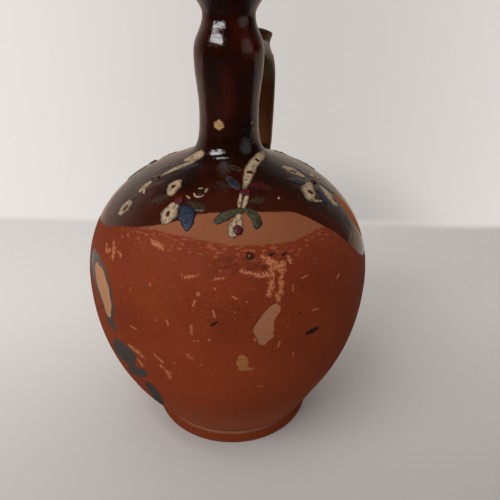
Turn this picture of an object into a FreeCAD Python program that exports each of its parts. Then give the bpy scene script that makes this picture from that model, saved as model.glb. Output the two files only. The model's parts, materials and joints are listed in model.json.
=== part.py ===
import FreeCAD, Part
import os
import Sketcher

# A thrown clay jug: a round belly on a low foot, a narrow neck with a bulge and a flared mouth,
# and one pulled strap handle with a thumb rest. It was thrown, joined wet and fired as one
# piece, so it is one solid. Origin at the centre of the underside of the foot, +Z up, handle
# towards +Y. Lengths are in millimetres, angles in degrees, and shares are plain ratios.

NODE = "jug"
SAME_PLACE = 1e-4

SIZES = (
    ("foot_radius", 40.0, "foot where it meets the table"),
    ("foot_top_radius", 38.6, "top of the foot band, where the belly starts"),
    ("foot_band", 6.5, "height of the foot band"),
    ("foot_edge", 1.5, "rounding of the bottom edge of the foot"),
    ("foot_groove", 1.1, "depth and half height of the line cut above the foot"),
    ("rise_angle", 57.0, "slope of the belly where it leaves the foot, from level"),
    ("rise_share", 0.32, "how far that slope is held, of the height up to the belly"),
    ("belly_radius", 65.0, "widest place"),
    ("belly_height", 78.0, "height of the widest place"),
    ("belly_share", 0.46, "fullness just below the widest place"),
    ("crown_share", 0.53, "fullness just above the widest place"),
    ("shoulder_radius", 22.6, "where the shoulder runs up towards the neck"),
    ("shoulder_height", 132.2, "height of that place"),
    ("shoulder_angle", 20.0, "slope of the shoulder there, from level"),
    ("shoulder_share", 0.63, "how far the shoulder stays flat towards the belly"),
    ("throat_share", 0.74, "how sharply the shoulder turns up into the neck"),
    ("throat_depth_share", 0.84, "how low that turn sits below the waist of the neck"),
    ("waist_radius", 12.6, "narrow lower stretch of the neck"),
    ("waist_rise", 18.8, "height of that stretch above the shoulder"),
    ("bulge_radius", 14.4, "bulge of the neck"),
    ("bulge_rise", 24.5, "height of the bulge above that stretch"),
    ("collar_radius", 10.5, "narrowest place, under the mouth"),
    ("collar_rise", 13.7, "height of the narrowest place above the bulge"),
    ("lip_radius", 21.5, "outside of the mouth"),
    ("lip_rise", 15.8, "height of the mouth above the narrowest place"),
    ("lip_angle", 70.0, "slope of the mouth at its edge, from level"),
    ("lip_edge_share", 0.34, "rounding of the edge of the mouth, of the wall of the neck"),
    ("mouth_share", 0.25, "how quickly the collar opens into the mouth"),
    ("neck_ease", 0.42, "softness of the curves of the neck"),
    ("wall", 5.0, "wall of the belly and shoulder"),
    ("neck_wall", 3.2, "wall of the neck and mouth"),
    ("floor_thickness", 8.0, "clay under the belly"),
    ("floor_round", 6.0, "rounding between floor and wall inside"),
    ("strap_width", 17.0, "handle strap, across"),
    ("strap_thickness", 6.6, "handle strap, through"),
    ("strap_reach", 40.0, "centre line of the strap at its furthest from the axis"),
    ("strap_lift", 4.0, "height of the upper root above the bulge"),
    ("strap_drop", 20.0, "height of the furthest place below the upper root"),
    ("strap_shoulder_share", 0.62, "how far the strap runs level before it bends"),
    ("strap_bend_share", 0.7, "fullness of the bend above the furthest place"),
    ("lower_root_radius", 37.0, "centre line of the strap where it goes into the shoulder"),
    ("lower_root_depth", 17.0, "end of the strap below the start of the shoulder"),
    ("lower_bend_share", 0.45, "fullness of the strap below its furthest place"),
    ("upper_blend", 2.4, "clay smeared round the upper root"),
    ("lower_blend", 3.4, "clay smeared round the lower root"),
    ("thumb_waist", 8.0, "radius of the thumb rest where it stands on the strap"),
    ("thumb_radius", 9.4, "radius of the top of the thumb rest"),
    ("thumb_height", 8.4, "thumb rest above the centre line of the strap"),
    ("thumb_dome", 2.0, "rise of its domed top"),
    ("thumb_stem_share", 0.6, "how far its side stays upright"),
    ("thumb_flare_share", 0.8, "how high its side starts to flare"),
    ("thumb_lean", 14.0, "lean of the thumb rest away from the neck"),
)

WAIST_HEIGHT = "(Sizes.shoulder_height + Sizes.waist_rise)"
BULGE_HEIGHT = f"({WAIST_HEIGHT} + Sizes.bulge_rise)"
COLLAR_HEIGHT = f"({BULGE_HEIGHT} + Sizes.collar_rise)"
LIP_HEIGHT = f"({COLLAR_HEIGHT} + Sizes.lip_rise)"


def make_sizes(document):
    """The sheet of driving dimensions, one named cell for each."""
    sheet = document.addObject("Spreadsheet::Sheet", "Sizes")
    for row, (name, value, meaning) in enumerate(SIZES, start=1):
        sheet.set(f"A{row}", name)
        sheet.set(f"B{row}", str(value))
        sheet.set(f"C{row}", meaning)
        sheet.setAlias(f"B{row}", name)
    document.recompute()
    return sheet


def origin_plane(body, role):
    """One of the body's own origin planes."""
    for feature in body.Origin.OriginFeatures:
        if feature.Role == role:
            return feature
    raise ValueError(f"no origin plane {role}")


def make_sketch(body, name, role):
    """An empty sketch on one of the body's origin planes."""
    sketch = body.newObject("Sketcher::SketchObject", name)
    sketch.AttachmentSupport = [(origin_plane(body, role), "")]
    sketch.MapMode = "FlatFace"
    return sketch


def number(sketch, formula):
    """The present value of a formula in the names of the sheet."""
    return float(sketch.evalExpression(formula))


def spot(sketch, place):
    """The present position of a place given as a pair of formulas. None means on the axis."""
    across, up = (0.0 if formula is None else number(sketch, formula) for formula in place)
    return FreeCAD.Vector(across, up, 0)


def tie(sketch, constraint, formula):
    """Adds a dimension and binds it to a formula in the names of the sheet."""
    index = sketch.addConstraint(constraint)
    sketch.setExpression(f"Constraints[{index}]", formula)


def pin(sketch, geometry, point, place):
    """Ties a point of the sketch to a place given as a pair of formulas."""
    across, up = place
    if across is None:
        sketch.addConstraint(Sketcher.Constraint("PointOnObject", geometry, point, -2))
    else:
        value = number(sketch, across)
        tie(sketch, Sketcher.Constraint("DistanceX", -1, 1, geometry, point, value), across)
    if up is None:
        sketch.addConstraint(Sketcher.Constraint("PointOnObject", geometry, point, -1))
    else:
        value = number(sketch, up)
        tie(sketch, Sketcher.Constraint("DistanceY", -1, 1, geometry, point, value), up)


def add_line(sketch, start, end):
    """A straight edge whose far end is tied to its place."""
    line = sketch.addGeometry(Part.LineSegment(spot(sketch, start), spot(sketch, end)), False)
    pin(sketch, line, 2, end)
    return line


def add_curve(sketch, start, start_lead, end_lead, end):
    """A smooth edge that leaves towards its first lead and arrives from its second one."""
    places = (start, start_lead, end_lead, end)
    spots = [spot(sketch, place) for place in places]
    leads = []
    for place in spots:
        circle = Part.Circle(place, FreeCAD.Vector(0, 0, 1), 1.0)
        leads.append(sketch.addGeometry(circle, True))
        sketch.addConstraint(Sketcher.Constraint("Weight", leads[-1], 1.0))
    curve = Part.BSplineCurve(spots, None, None, False, 3, None, False)
    edge = sketch.addGeometry(curve, False)
    for order, lead in enumerate(leads):
        kind = "InternalAlignment:Sketcher::BSplineControlPoint"
        sketch.addConstraint(Sketcher.Constraint(kind, lead, 3, edge, order))
    for lead, place in zip(leads[1:], places[1:]):
        pin(sketch, lead, 3, place)
    return edge


def join(sketch, edges, closed=True):
    """Joins each edge to the next one, and the last to the first."""
    for edge, following in zip(edges, edges[1:]):
        sketch.addConstraint(Sketcher.Constraint("Coincident", edge, 2, following, 1))
    if closed:
        sketch.addConstraint(Sketcher.Constraint("Coincident", edges[-1], 2, edges[0], 1))


def between(first, second, share):
    """A formula for the place that lies a share of the way from one height to another."""
    return f"{first} + ({second} - ({first})) * {share}"


def body_curves(wall, neck_wall, start):
    """The six curves from the foot to the lip, moved inwards by a wall."""
    rise_lead = "Sizes.rise_share * (Sizes.belly_height - Sizes.foot_band)"
    belly = f"Sizes.belly_radius - {wall}"
    shoulder = (
        f"Sizes.shoulder_radius - {wall} * sin(Sizes.shoulder_angle * 1 deg)",
        f"Sizes.shoulder_height - {wall} * cos(Sizes.shoulder_angle * 1 deg)",
    )
    flat = f"Sizes.shoulder_share * ({belly} - ({shoulder[0]}))"
    waist = f"Sizes.waist_radius - {neck_wall}"
    turn = f"Sizes.throat_share * ({shoulder[0]} - ({waist}))"
    bulge = f"Sizes.bulge_radius - {neck_wall}"
    collar = f"Sizes.collar_radius - {neck_wall}"
    lip = f"Sizes.lip_radius - {neck_wall} / sin(Sizes.lip_angle * 1 deg)"
    mouth_lead = "Sizes.mouth_share * Sizes.lip_rise"
    steep = "tan(Sizes.shoulder_angle * 1 deg)"
    return (
        (
            start,
            (f"{start[0]} + {rise_lead} * cos(Sizes.rise_angle * 1 deg)",
             f"{start[1]} + {rise_lead} * sin(Sizes.rise_angle * 1 deg)"),
            (belly, between("Sizes.belly_height", start[1], "Sizes.belly_share")),
            (belly, "Sizes.belly_height"),
        ),
        (
            (belly, "Sizes.belly_height"),
            (belly, between("Sizes.belly_height", shoulder[1], "Sizes.crown_share")),
            (f"{shoulder[0]} + {flat}", f"{shoulder[1]} - {flat} * {steep}"),
            shoulder,
        ),
        (
            shoulder,
            (f"{shoulder[0]} - {turn}", f"{shoulder[1]} + {turn} * {steep}"),
            (waist, between(WAIST_HEIGHT, shoulder[1], "Sizes.throat_depth_share")),
            (waist, WAIST_HEIGHT),
        ),
        (
            (waist, WAIST_HEIGHT),
            (waist, between(WAIST_HEIGHT, BULGE_HEIGHT, "Sizes.neck_ease")),
            (bulge, between(BULGE_HEIGHT, WAIST_HEIGHT, "Sizes.neck_ease")),
            (bulge, BULGE_HEIGHT),
        ),
        (
            (bulge, BULGE_HEIGHT),
            (bulge, between(BULGE_HEIGHT, COLLAR_HEIGHT, "Sizes.neck_ease")),
            (collar, between(COLLAR_HEIGHT, BULGE_HEIGHT, "Sizes.neck_ease")),
            (collar, COLLAR_HEIGHT),
        ),
        (
            (collar, COLLAR_HEIGHT),
            (collar, f"{COLLAR_HEIGHT} + {mouth_lead}"),
            (f"{lip} - {mouth_lead} * cos(Sizes.lip_angle * 1 deg)",
             f"{LIP_HEIGHT} - {mouth_lead} * sin(Sizes.lip_angle * 1 deg)"),
            (lip, LIP_HEIGHT),
        ),
    )


def throw_outside(body):
    """The outside of the pot, spun about the axis as on the wheel."""
    sketch = make_sketch(body, "outside_outline", "XZ_Plane")
    centre = (None, None)
    foot = ("Sizes.foot_radius", None)
    foot_top = ("Sizes.foot_top_radius", "Sizes.foot_band")
    mouth_centre = (None, LIP_HEIGHT)
    curves = body_curves("0", "0", foot_top)
    edges = [add_line(sketch, centre, foot), add_line(sketch, foot, foot_top)]
    edges.extend(add_curve(sketch, *places) for places in curves)
    edges.append(add_line(sketch, curves[-1][-1], mouth_centre))
    edges.append(add_line(sketch, mouth_centre, centre))
    join(sketch, edges)
    return spin(body, sketch, "thrown_outside", "PartDesign::Revolution")


def spin(body, sketch, name, kind):
    """A full turn of a sketch about its own upright axis."""
    body.Document.recompute()
    feature = body.newObject(kind, name)
    feature.Profile = sketch
    feature.ReferenceAxis = (sketch, ["V_Axis"])
    feature.Angle = 360.0
    body.Document.recompute()
    return feature


def cut_foot_line(body):
    """The narrow V that the corner of the trimming tool leaves above the foot."""
    sketch = make_sketch(body, "foot_line_outline", "XZ_Plane")
    open_side = "Sizes.foot_top_radius + Sizes.foot_groove"
    above = (open_side, "Sizes.foot_band + Sizes.foot_groove")
    tip = ("Sizes.foot_top_radius - Sizes.foot_groove", "Sizes.foot_band")
    below = (open_side, "Sizes.foot_band - Sizes.foot_groove")
    corners = (above, tip, below)
    edges = [add_line(sketch, *side) for side in zip(corners, (tip, below, above))]
    join(sketch, edges)
    return spin(body, sketch, "foot_line", "PartDesign::Groove")


def strap_places():
    """The centre line of the strap as two curves in the plane of the handle."""
    top = f"{BULGE_HEIGHT} + Sizes.strap_lift"
    outer_height = f"{top} - Sizes.strap_drop"
    end_height = "Sizes.shoulder_height - Sizes.lower_root_depth"
    bend_lead = "Sizes.strap_bend_share * Sizes.strap_drop"
    fall = f"({outer_height} - ({end_height}))"
    return (
        (
            (None, top),
            ("Sizes.strap_reach * Sizes.strap_shoulder_share", top),
            ("Sizes.strap_reach", f"{outer_height} + {bend_lead}"),
            ("Sizes.strap_reach", outer_height),
        ),
        (
            ("Sizes.strap_reach", outer_height),
            ("Sizes.strap_reach", f"{outer_height} - Sizes.lower_bend_share * {fall}"),
            ("Sizes.lower_root_radius", f"{end_height} + Sizes.lower_bend_share * {fall}"),
            ("Sizes.lower_root_radius", end_height),
        ),
    )


def pull_strap(body):
    """The strap, swept from the axis of the neck down into the hollow of the belly."""
    route = make_sketch(body, "strap_route", "YZ_Plane")
    places = strap_places()
    curves = [add_curve(route, *curve) for curve in places]
    route.addConstraint(Sketcher.Constraint("PointOnObject", curves[0], 1, -2))
    height = places[0][0][1]
    start = Sketcher.Constraint("DistanceY", -1, 1, curves[0], 1, number(route, height))
    tie(route, start, height)
    join(route, curves, closed=False)

    section = make_sketch(body, "strap_section", "XZ_Plane")
    centre = spot(section, places[0][0])
    half_width = number(section, "Sizes.strap_width / 2")
    half_thickness = number(section, "Sizes.strap_thickness / 2")
    across = centre + FreeCAD.Vector(half_width, 0, 0)
    through = centre + FreeCAD.Vector(0, half_thickness, 0)
    oval = section.addGeometry(Part.Ellipse(across, through, centre), False)
    section.exposeInternalGeometry(oval)
    major, minor = oval + 1, oval + 2
    pin(section, oval, 3, places[0][0])
    section.addConstraint(Sketcher.Constraint("Horizontal", major))
    tie(section, Sketcher.Constraint("Distance", major, 2 * half_width), "Sizes.strap_width")
    tie(section, Sketcher.Constraint("Distance", minor, 2 * half_thickness), "Sizes.strap_thickness")

    body.Document.recompute()
    strap = body.newObject("PartDesign::AdditivePipe", "strap")
    strap.Profile = section
    strap.Spine = (route, [])
    body.Document.recompute()
    return strap


def shape_thumb_rest(body):
    """The domed thumb rest that stands on the bend of the strap."""
    first, second, third, fourth = strap_places()[0]
    across = f"(3 * ({second[0]}) + 3 * ({third[0]}) + ({fourth[0]})) / 8"
    up = f"(({first[1]}) + 3 * ({second[1]}) + 3 * ({third[1]}) + ({fourth[1]})) / 8"
    sketch = make_sketch(body, "thumb_outline", "YZ_Plane")
    sketch.AttachmentOffset = FreeCAD.Placement(
        spot(sketch, (across, up)),
        FreeCAD.Rotation(FreeCAD.Vector(0, 0, 1), -number(sketch, "Sizes.thumb_lean")),
    )
    sketch.setExpression("AttachmentOffset.Base.x", across)
    sketch.setExpression("AttachmentOffset.Base.y", up)
    sketch.setExpression("AttachmentOffset.Rotation.Angle", "-Sizes.thumb_lean")
    edge_height = "Sizes.thumb_height - Sizes.thumb_dome"
    base = ("Sizes.thumb_waist", None)
    rim = ("Sizes.thumb_radius", edge_height)
    top = (None, "Sizes.thumb_height")
    edges = [
        add_line(sketch, (None, None), base),
        add_curve(
            sketch, base, ("Sizes.thumb_waist", f"Sizes.thumb_stem_share * ({edge_height})"),
            ("Sizes.thumb_waist", f"Sizes.thumb_flare_share * ({edge_height})"), rim,
        ),
        add_curve(
            sketch, rim, ("Sizes.thumb_radius", "Sizes.thumb_height"),
            ("Sizes.thumb_radius / 2", "Sizes.thumb_height"), top,
        ),
        add_line(sketch, top, (None, None)),
    ]
    join(sketch, edges)
    return spin(body, sketch, "thumb_rest", "PartDesign::Revolution")


def edge_names(shape, wanted):
    """The names of the edges of a shape that a test picks. The tip of a dome is no real edge."""
    numbered = enumerate(shape.Edges, start=1)
    return [f"Edge{index}" for index, edge in numbered if not edge.Degenerated and wanted(edge)]


def round_edges(body, name, radius, wanted):
    """Rounds the edges of the body so far that a test picks."""
    base = body.Tip
    fillet = body.newObject("PartDesign::Fillet", name)
    fillet.Base = (base, edge_names(base.Shape, wanted))
    fillet.setExpression("Radius", radius)
    body.Document.recompute()
    return fillet


def is_ring(edge, height):
    """True for a circle about the axis of the pot at a height."""
    if edge.Curve.TypeId != "Part::GeomCircle":
        return False
    return edge.Curve.Center.distanceToPoint(FreeCAD.Vector(0, 0, height)) < SAME_PLACE


def is_root(edge, shape, low, high):
    """True for an edge between two heights where the strap meets what was thrown on the wheel."""
    kinds = {face.Surface.TypeId for face in shape.ancestorsOfType(edge, Part.Face)}
    joins_strap = kinds == {"Part::GeomSurfaceOfRevolution", "Part::GeomBSplineSurface"}
    return joins_strap and low < edge.CenterOfMass.z < high


def hollow_out(body):
    """The inside: floor, belly, neck and mouth, cut through the roots of the strap too."""
    sketch = make_sketch(body, "inside_outline", "XZ_Plane")
    floor_centre = (None, "Sizes.floor_thickness")
    lean = "sin(Sizes.rise_angle * 1 deg)"
    rise = "(Sizes.floor_thickness - Sizes.foot_band) / tan(Sizes.rise_angle * 1 deg)"
    floor_edge = (f"Sizes.foot_top_radius + {rise} - Sizes.wall / {lean}", "Sizes.floor_thickness")
    curves = body_curves("Sizes.wall", "Sizes.neck_wall", floor_edge)
    mouth_centre = (None, LIP_HEIGHT)
    edges = [add_line(sketch, floor_centre, floor_edge)]
    edges.extend(add_curve(sketch, *places) for places in curves)
    edges.append(add_line(sketch, curves[-1][-1], mouth_centre))
    edges.append(add_line(sketch, mouth_centre, floor_centre))
    join(sketch, edges)
    return spin(body, sketch, "hollow", "PartDesign::Groove")


def blend_roots(body):
    """The clay smeared round both roots of the strap."""
    waist = number(body.Tip, WAIST_HEIGHT)
    mouth = number(body.Tip, LIP_HEIGHT)
    for name, low, high in (("upper", waist, mouth), ("lower", 0.0, waist)):
        shape = body.Tip.Shape
        round_edges(
            body, f"{name}_root", f"Sizes.{name}_blend",
            lambda edge: is_root(edge, shape, low, high),
        )


def soften_edges(body):
    """The rounded bottom edge of the foot, the floor inside and the edge of the mouth."""
    floor = number(body.Tip, "Sizes.floor_thickness")
    mouth = number(body.Tip, LIP_HEIGHT)
    round_edges(body, "foot_edge", "Sizes.foot_edge", lambda edge: is_ring(edge, 0.0))
    round_edges(body, "floor_round", "Sizes.floor_round", lambda edge: is_ring(edge, floor))
    lip_round = "Sizes.lip_edge_share * Sizes.neck_wall"
    round_edges(body, "lip_edge", lip_round, lambda edge: is_ring(edge, mouth))


def make_jug(document):
    """The whole jug as one body."""
    body = document.addObject("PartDesign::Body", NODE)
    body.Label = NODE
    throw_outside(body)
    cut_foot_line(body)
    pull_strap(body)
    blend_roots(body)
    shape_thumb_rest(body)
    hollow_out(body)
    soften_edges(body)
    return body


def main():
    """Builds the document, looks it over and writes the jug."""
    document = FreeCAD.newDocument("clay_jug")
    make_sizes(document)
    body = make_jug(document)
    document.recompute()
    for item in document.Objects:
        faults = {"Invalid", "Error"}.intersection(item.State)
        if faults:
            raise RuntimeError(f"{item.Name} failed: {sorted(faults)}")
    shape = body.Shape
    if shape.isNull() or not shape.isValid() or len(shape.Solids) != 1:
        raise RuntimeError(f"{body.Label} is not one sound solid")
    os.makedirs("parts", exist_ok=True)
    shape.exportStep(f"parts/{body.Label}.step")
    print(f"{body.Label}: {shape.Volume / 1000:.1f} cm3, {shape.BoundBox}")


main()
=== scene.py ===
"""Clay jug: a dark glazed shoulder and neck over a brick red slip, with painted sprays of flowers.

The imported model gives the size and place. The jug is thrown again here as one closed mesh, with a
strap handle and a thumb rest joined to it, and the painted strokes are laid on its skin as raised
enamel. Lengths are millimetres of the real jug unless a name says otherwise. A turn is the number
of degrees round the pot from the side that faces the camera, positive to the right.
"""

import json
import logging
import math
import random
from collections.abc import Iterable, Iterator, Mapping, Sequence
from contextlib import contextmanager
from dataclasses import dataclass, field
from enum import Enum
from functools import reduce

import bpy
import numpy as np
from mathutils import Matrix, Vector

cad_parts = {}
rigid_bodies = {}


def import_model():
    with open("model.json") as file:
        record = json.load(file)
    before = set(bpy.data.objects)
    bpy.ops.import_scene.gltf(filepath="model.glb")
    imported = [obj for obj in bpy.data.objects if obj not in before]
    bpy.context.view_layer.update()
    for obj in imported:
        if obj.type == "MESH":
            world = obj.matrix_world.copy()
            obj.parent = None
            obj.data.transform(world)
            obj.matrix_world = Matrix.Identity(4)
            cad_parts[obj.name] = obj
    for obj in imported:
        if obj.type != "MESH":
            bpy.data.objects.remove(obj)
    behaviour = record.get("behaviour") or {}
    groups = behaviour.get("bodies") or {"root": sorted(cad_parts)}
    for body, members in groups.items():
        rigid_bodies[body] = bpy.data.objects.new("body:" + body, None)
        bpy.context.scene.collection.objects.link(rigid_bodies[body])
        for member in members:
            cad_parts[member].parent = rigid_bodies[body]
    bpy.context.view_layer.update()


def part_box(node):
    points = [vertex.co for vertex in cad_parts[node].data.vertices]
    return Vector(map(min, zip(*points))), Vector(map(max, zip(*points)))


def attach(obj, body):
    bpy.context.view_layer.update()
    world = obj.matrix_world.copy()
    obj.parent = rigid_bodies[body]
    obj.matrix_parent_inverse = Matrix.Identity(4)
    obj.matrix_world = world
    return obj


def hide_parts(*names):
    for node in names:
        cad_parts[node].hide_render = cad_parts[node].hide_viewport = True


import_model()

LOG = logging.getLogger("jug")
MM = 0.001
FACING = -69.33  # degrees from +X round to the side of the pot that faces the camera
MERGE = 0.00001  # metres; vertices that lie closer are one
TINY = 0.000001  # a length or radius under this counts as none
Place = tuple[float, float]
Triple = tuple[float, float, float]
Colour = Triple
Touch = Triple  # a turn, a height and a width


def tone(red: float, green: float, blue: float) -> Colour:
    """Return the linear values of a colour written as screen values from 0 to 255."""
    shares = (value / 255 for value in (red, green, blue))
    return tuple(s / 12.92 if s <= 0.04045 else ((s + 0.055) / 1.055) ** 2.4 for s in shares)


def blend_places(first: Place, second: Place, share: float) -> Place:
    """Return the place that lies a share of the way from the first to the second."""
    return tuple(a + (b - a) * share for a, b in zip(first, second))


@dataclass(frozen=True)
class Bend:
    """One smooth stretch of an outline, drawn from its start towards its lead.

    It arrives at its end from its trail, in so many straight steps.
    """

    start: Place
    lead: Place
    trail: Place
    end: Place
    steps: int = 14

    def at(self, share: float) -> Place:
        """Return the place that lies a share of the way along."""
        return self.split(share)[0].end

    def split(self, share: float) -> tuple["Bend", "Bend"]:
        """Cut the bend in two.

        Args:
            share: How far along the cut lies, from 0 to 1.

        Returns:
            The stretch before the cut and the stretch after it.
        """
        first = blend_places(self.start, self.lead, share)
        middle = blend_places(self.lead, self.trail, share)
        last = blend_places(self.trail, self.end, share)
        near, far = blend_places(first, middle, share), blend_places(middle, last, share)
        cut = blend_places(near, far, share)
        return (
            Bend(self.start, first, near, cut, self.steps),
            Bend(cut, far, last, self.end, self.steps),
        )

    def turned_round(self) -> "Bend":
        """Return the same stretch drawn from its end to its start."""
        return Bend(self.end, self.trail, self.lead, self.start, self.steps)


def straight(start: Place, end: Place, steps: int = 1) -> Bend:
    """Return a straight stretch."""
    lead, trail = blend_places(start, end, 1 / 3), blend_places(start, end, 2 / 3)
    return Bend(start, lead, trail, end, steps)


def corner(start: Place, tip: Place, end: Place, steps: int = 5) -> Bend:
    """Return the round that replaces a corner at the tip."""
    ease = 0.55
    return Bend(start, blend_places(start, tip, ease), blend_places(end, tip, ease), end, steps)


def share_at_height(bend: Bend, height: float, halvings: int = 30) -> float:
    """Find a height on a rising bend.

    Args:
        bend: The bend to search.
        height: The height to find.
        halvings: How often the search halves the stretch that holds it.

    Returns:
        How far along the bend the height is reached, from 0 to 1.
    """
    low, high = 0.0, 1.0
    for _ in range(halvings):
        middle = (low + high) / 2
        low, high = (middle, high) if bend.at(middle)[1] < height else (low, middle)
    return low


def clear_selection() -> None:
    """Leave every object unselected."""
    bpy.ops.object.select_all(action="DESELECT")


def pick(*pieces: bpy.types.Object) -> None:
    """Select pieces and nothing else.

    Args:
        pieces: The pieces, of which the first one becomes active.
    """
    clear_selection()
    for piece in pieces:
        piece.select_set(True)
    bpy.context.view_layer.objects.active = pieces[0]


@contextmanager
def editing() -> Iterator[None]:
    """Hold the active object in edit mode.

    Returns:
        A context, at whose end the object is back in object mode.
    """
    bpy.ops.object.mode_set(mode="EDIT")
    yield
    bpy.ops.object.mode_set(mode="OBJECT")


def merge_all() -> None:
    """Merge the doubles of the mesh in edit mode."""
    bpy.ops.mesh.select_all(action="SELECT")
    bpy.ops.mesh.remove_doubles(threshold=MERGE)


def face_outwards() -> None:
    """Turn all faces of the mesh in edit mode outwards."""
    bpy.ops.mesh.select_all(action="SELECT")
    bpy.ops.mesh.normals_make_consistent(inside=False)


def draw_bends(name: str, bends: Iterable[Bend], upright: Matrix) -> bpy.types.Object:
    """Draw bends as Bezier curves.

    Args:
        name: The name of the new curve.
        bends: The stretches to draw, in millimetres.
        upright: What turns a drawn place, with no depth, into a place on the pot.

    Returns:
        The curve object, in metres.
    """
    clear_selection()
    bpy.ops.curve.primitive_bezier_curve_add()
    drawing = bpy.context.object
    drawing.name = name
    drawing.data.splines.clear()
    for bend in bends:
        start, lead, trail, end = (
            upright @ Vector((across * MM, height * MM, 0.0))
            for across, height in (bend.start, bend.lead, bend.trail, bend.end)
        )
        spline = drawing.data.splines.new("BEZIER")
        spline.bezier_points.add(1)
        spline.resolution_u = bend.steps
        for point, place, before, after in (
            (spline.bezier_points[0], start, start, lead),
            (spline.bezier_points[1], end, trail, end),
        ):
            point.handle_left_type = point.handle_right_type = "FREE"
            point.co, point.handle_left, point.handle_right = place, before, after
    return drawing


ACROSS_X = Matrix.Rotation(math.pi / 2, 4, "X")
ACROSS_Y = Matrix.Rotation(math.pi / 2, 4, "Z") @ ACROSS_X


def lathe(name: str, bends: Iterable[Bend], steps: int) -> bpy.types.Object:
    """Spin an outline about the upright axis into a closed mesh.

    Args:
        name: The name of the new mesh.
        bends: The outline from the axis back to the axis.
        steps: How many faces go round.

    Returns:
        The mesh object.
    """
    piece = draw_bends(name, bends, ACROSS_X)
    bpy.ops.object.convert(target="MESH")
    with editing():
        merge_all()
        bpy.ops.mesh.spin(steps=steps, angle=math.tau, center=(0, 0, 0), axis=(0, 0, 1))
        merge_all()
        face_outwards()
    return piece


def combine(kept: bpy.types.Object, other: bpy.types.Object, operation: str) -> None:
    """Join another solid to the kept one, or cut it away.

    Args:
        kept: The solid that changes.
        other: The solid that is used up.
        operation: UNION or DIFFERENCE.
    """
    pick(kept)
    modifier = kept.modifiers.new(operation.lower(), "BOOLEAN")
    modifier.operation = operation
    modifier.solver = "EXACT"
    modifier.object = other
    bpy.ops.object.modifier_apply(modifier=modifier.name)
    bpy.data.objects.remove(other)


def places_of(piece: bpy.types.Object) -> np.ndarray:
    """Read the places of all vertices of a mesh.

    Args:
        piece: The mesh object.

    Returns:
        One place in a row, in millimetres.
    """
    flat = np.empty(len(piece.data.vertices) * 3)
    piece.data.vertices.foreach_get("co", flat)
    return flat.reshape(-1, 3) / MM


def select_vertices(piece: bpy.types.Object, chosen: np.ndarray) -> None:
    """Select vertices of a mesh in object mode, and leave the rest unselected.

    Args:
        piece: The mesh object.
        chosen: True for each vertex to select.
    """
    mesh = piece.data
    mesh.polygons.foreach_set("select", np.zeros(len(mesh.polygons), dtype=bool))
    mesh.edges.foreach_set("select", np.zeros(len(mesh.edges), dtype=bool))
    mesh.vertices.foreach_set("select", chosen)


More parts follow.
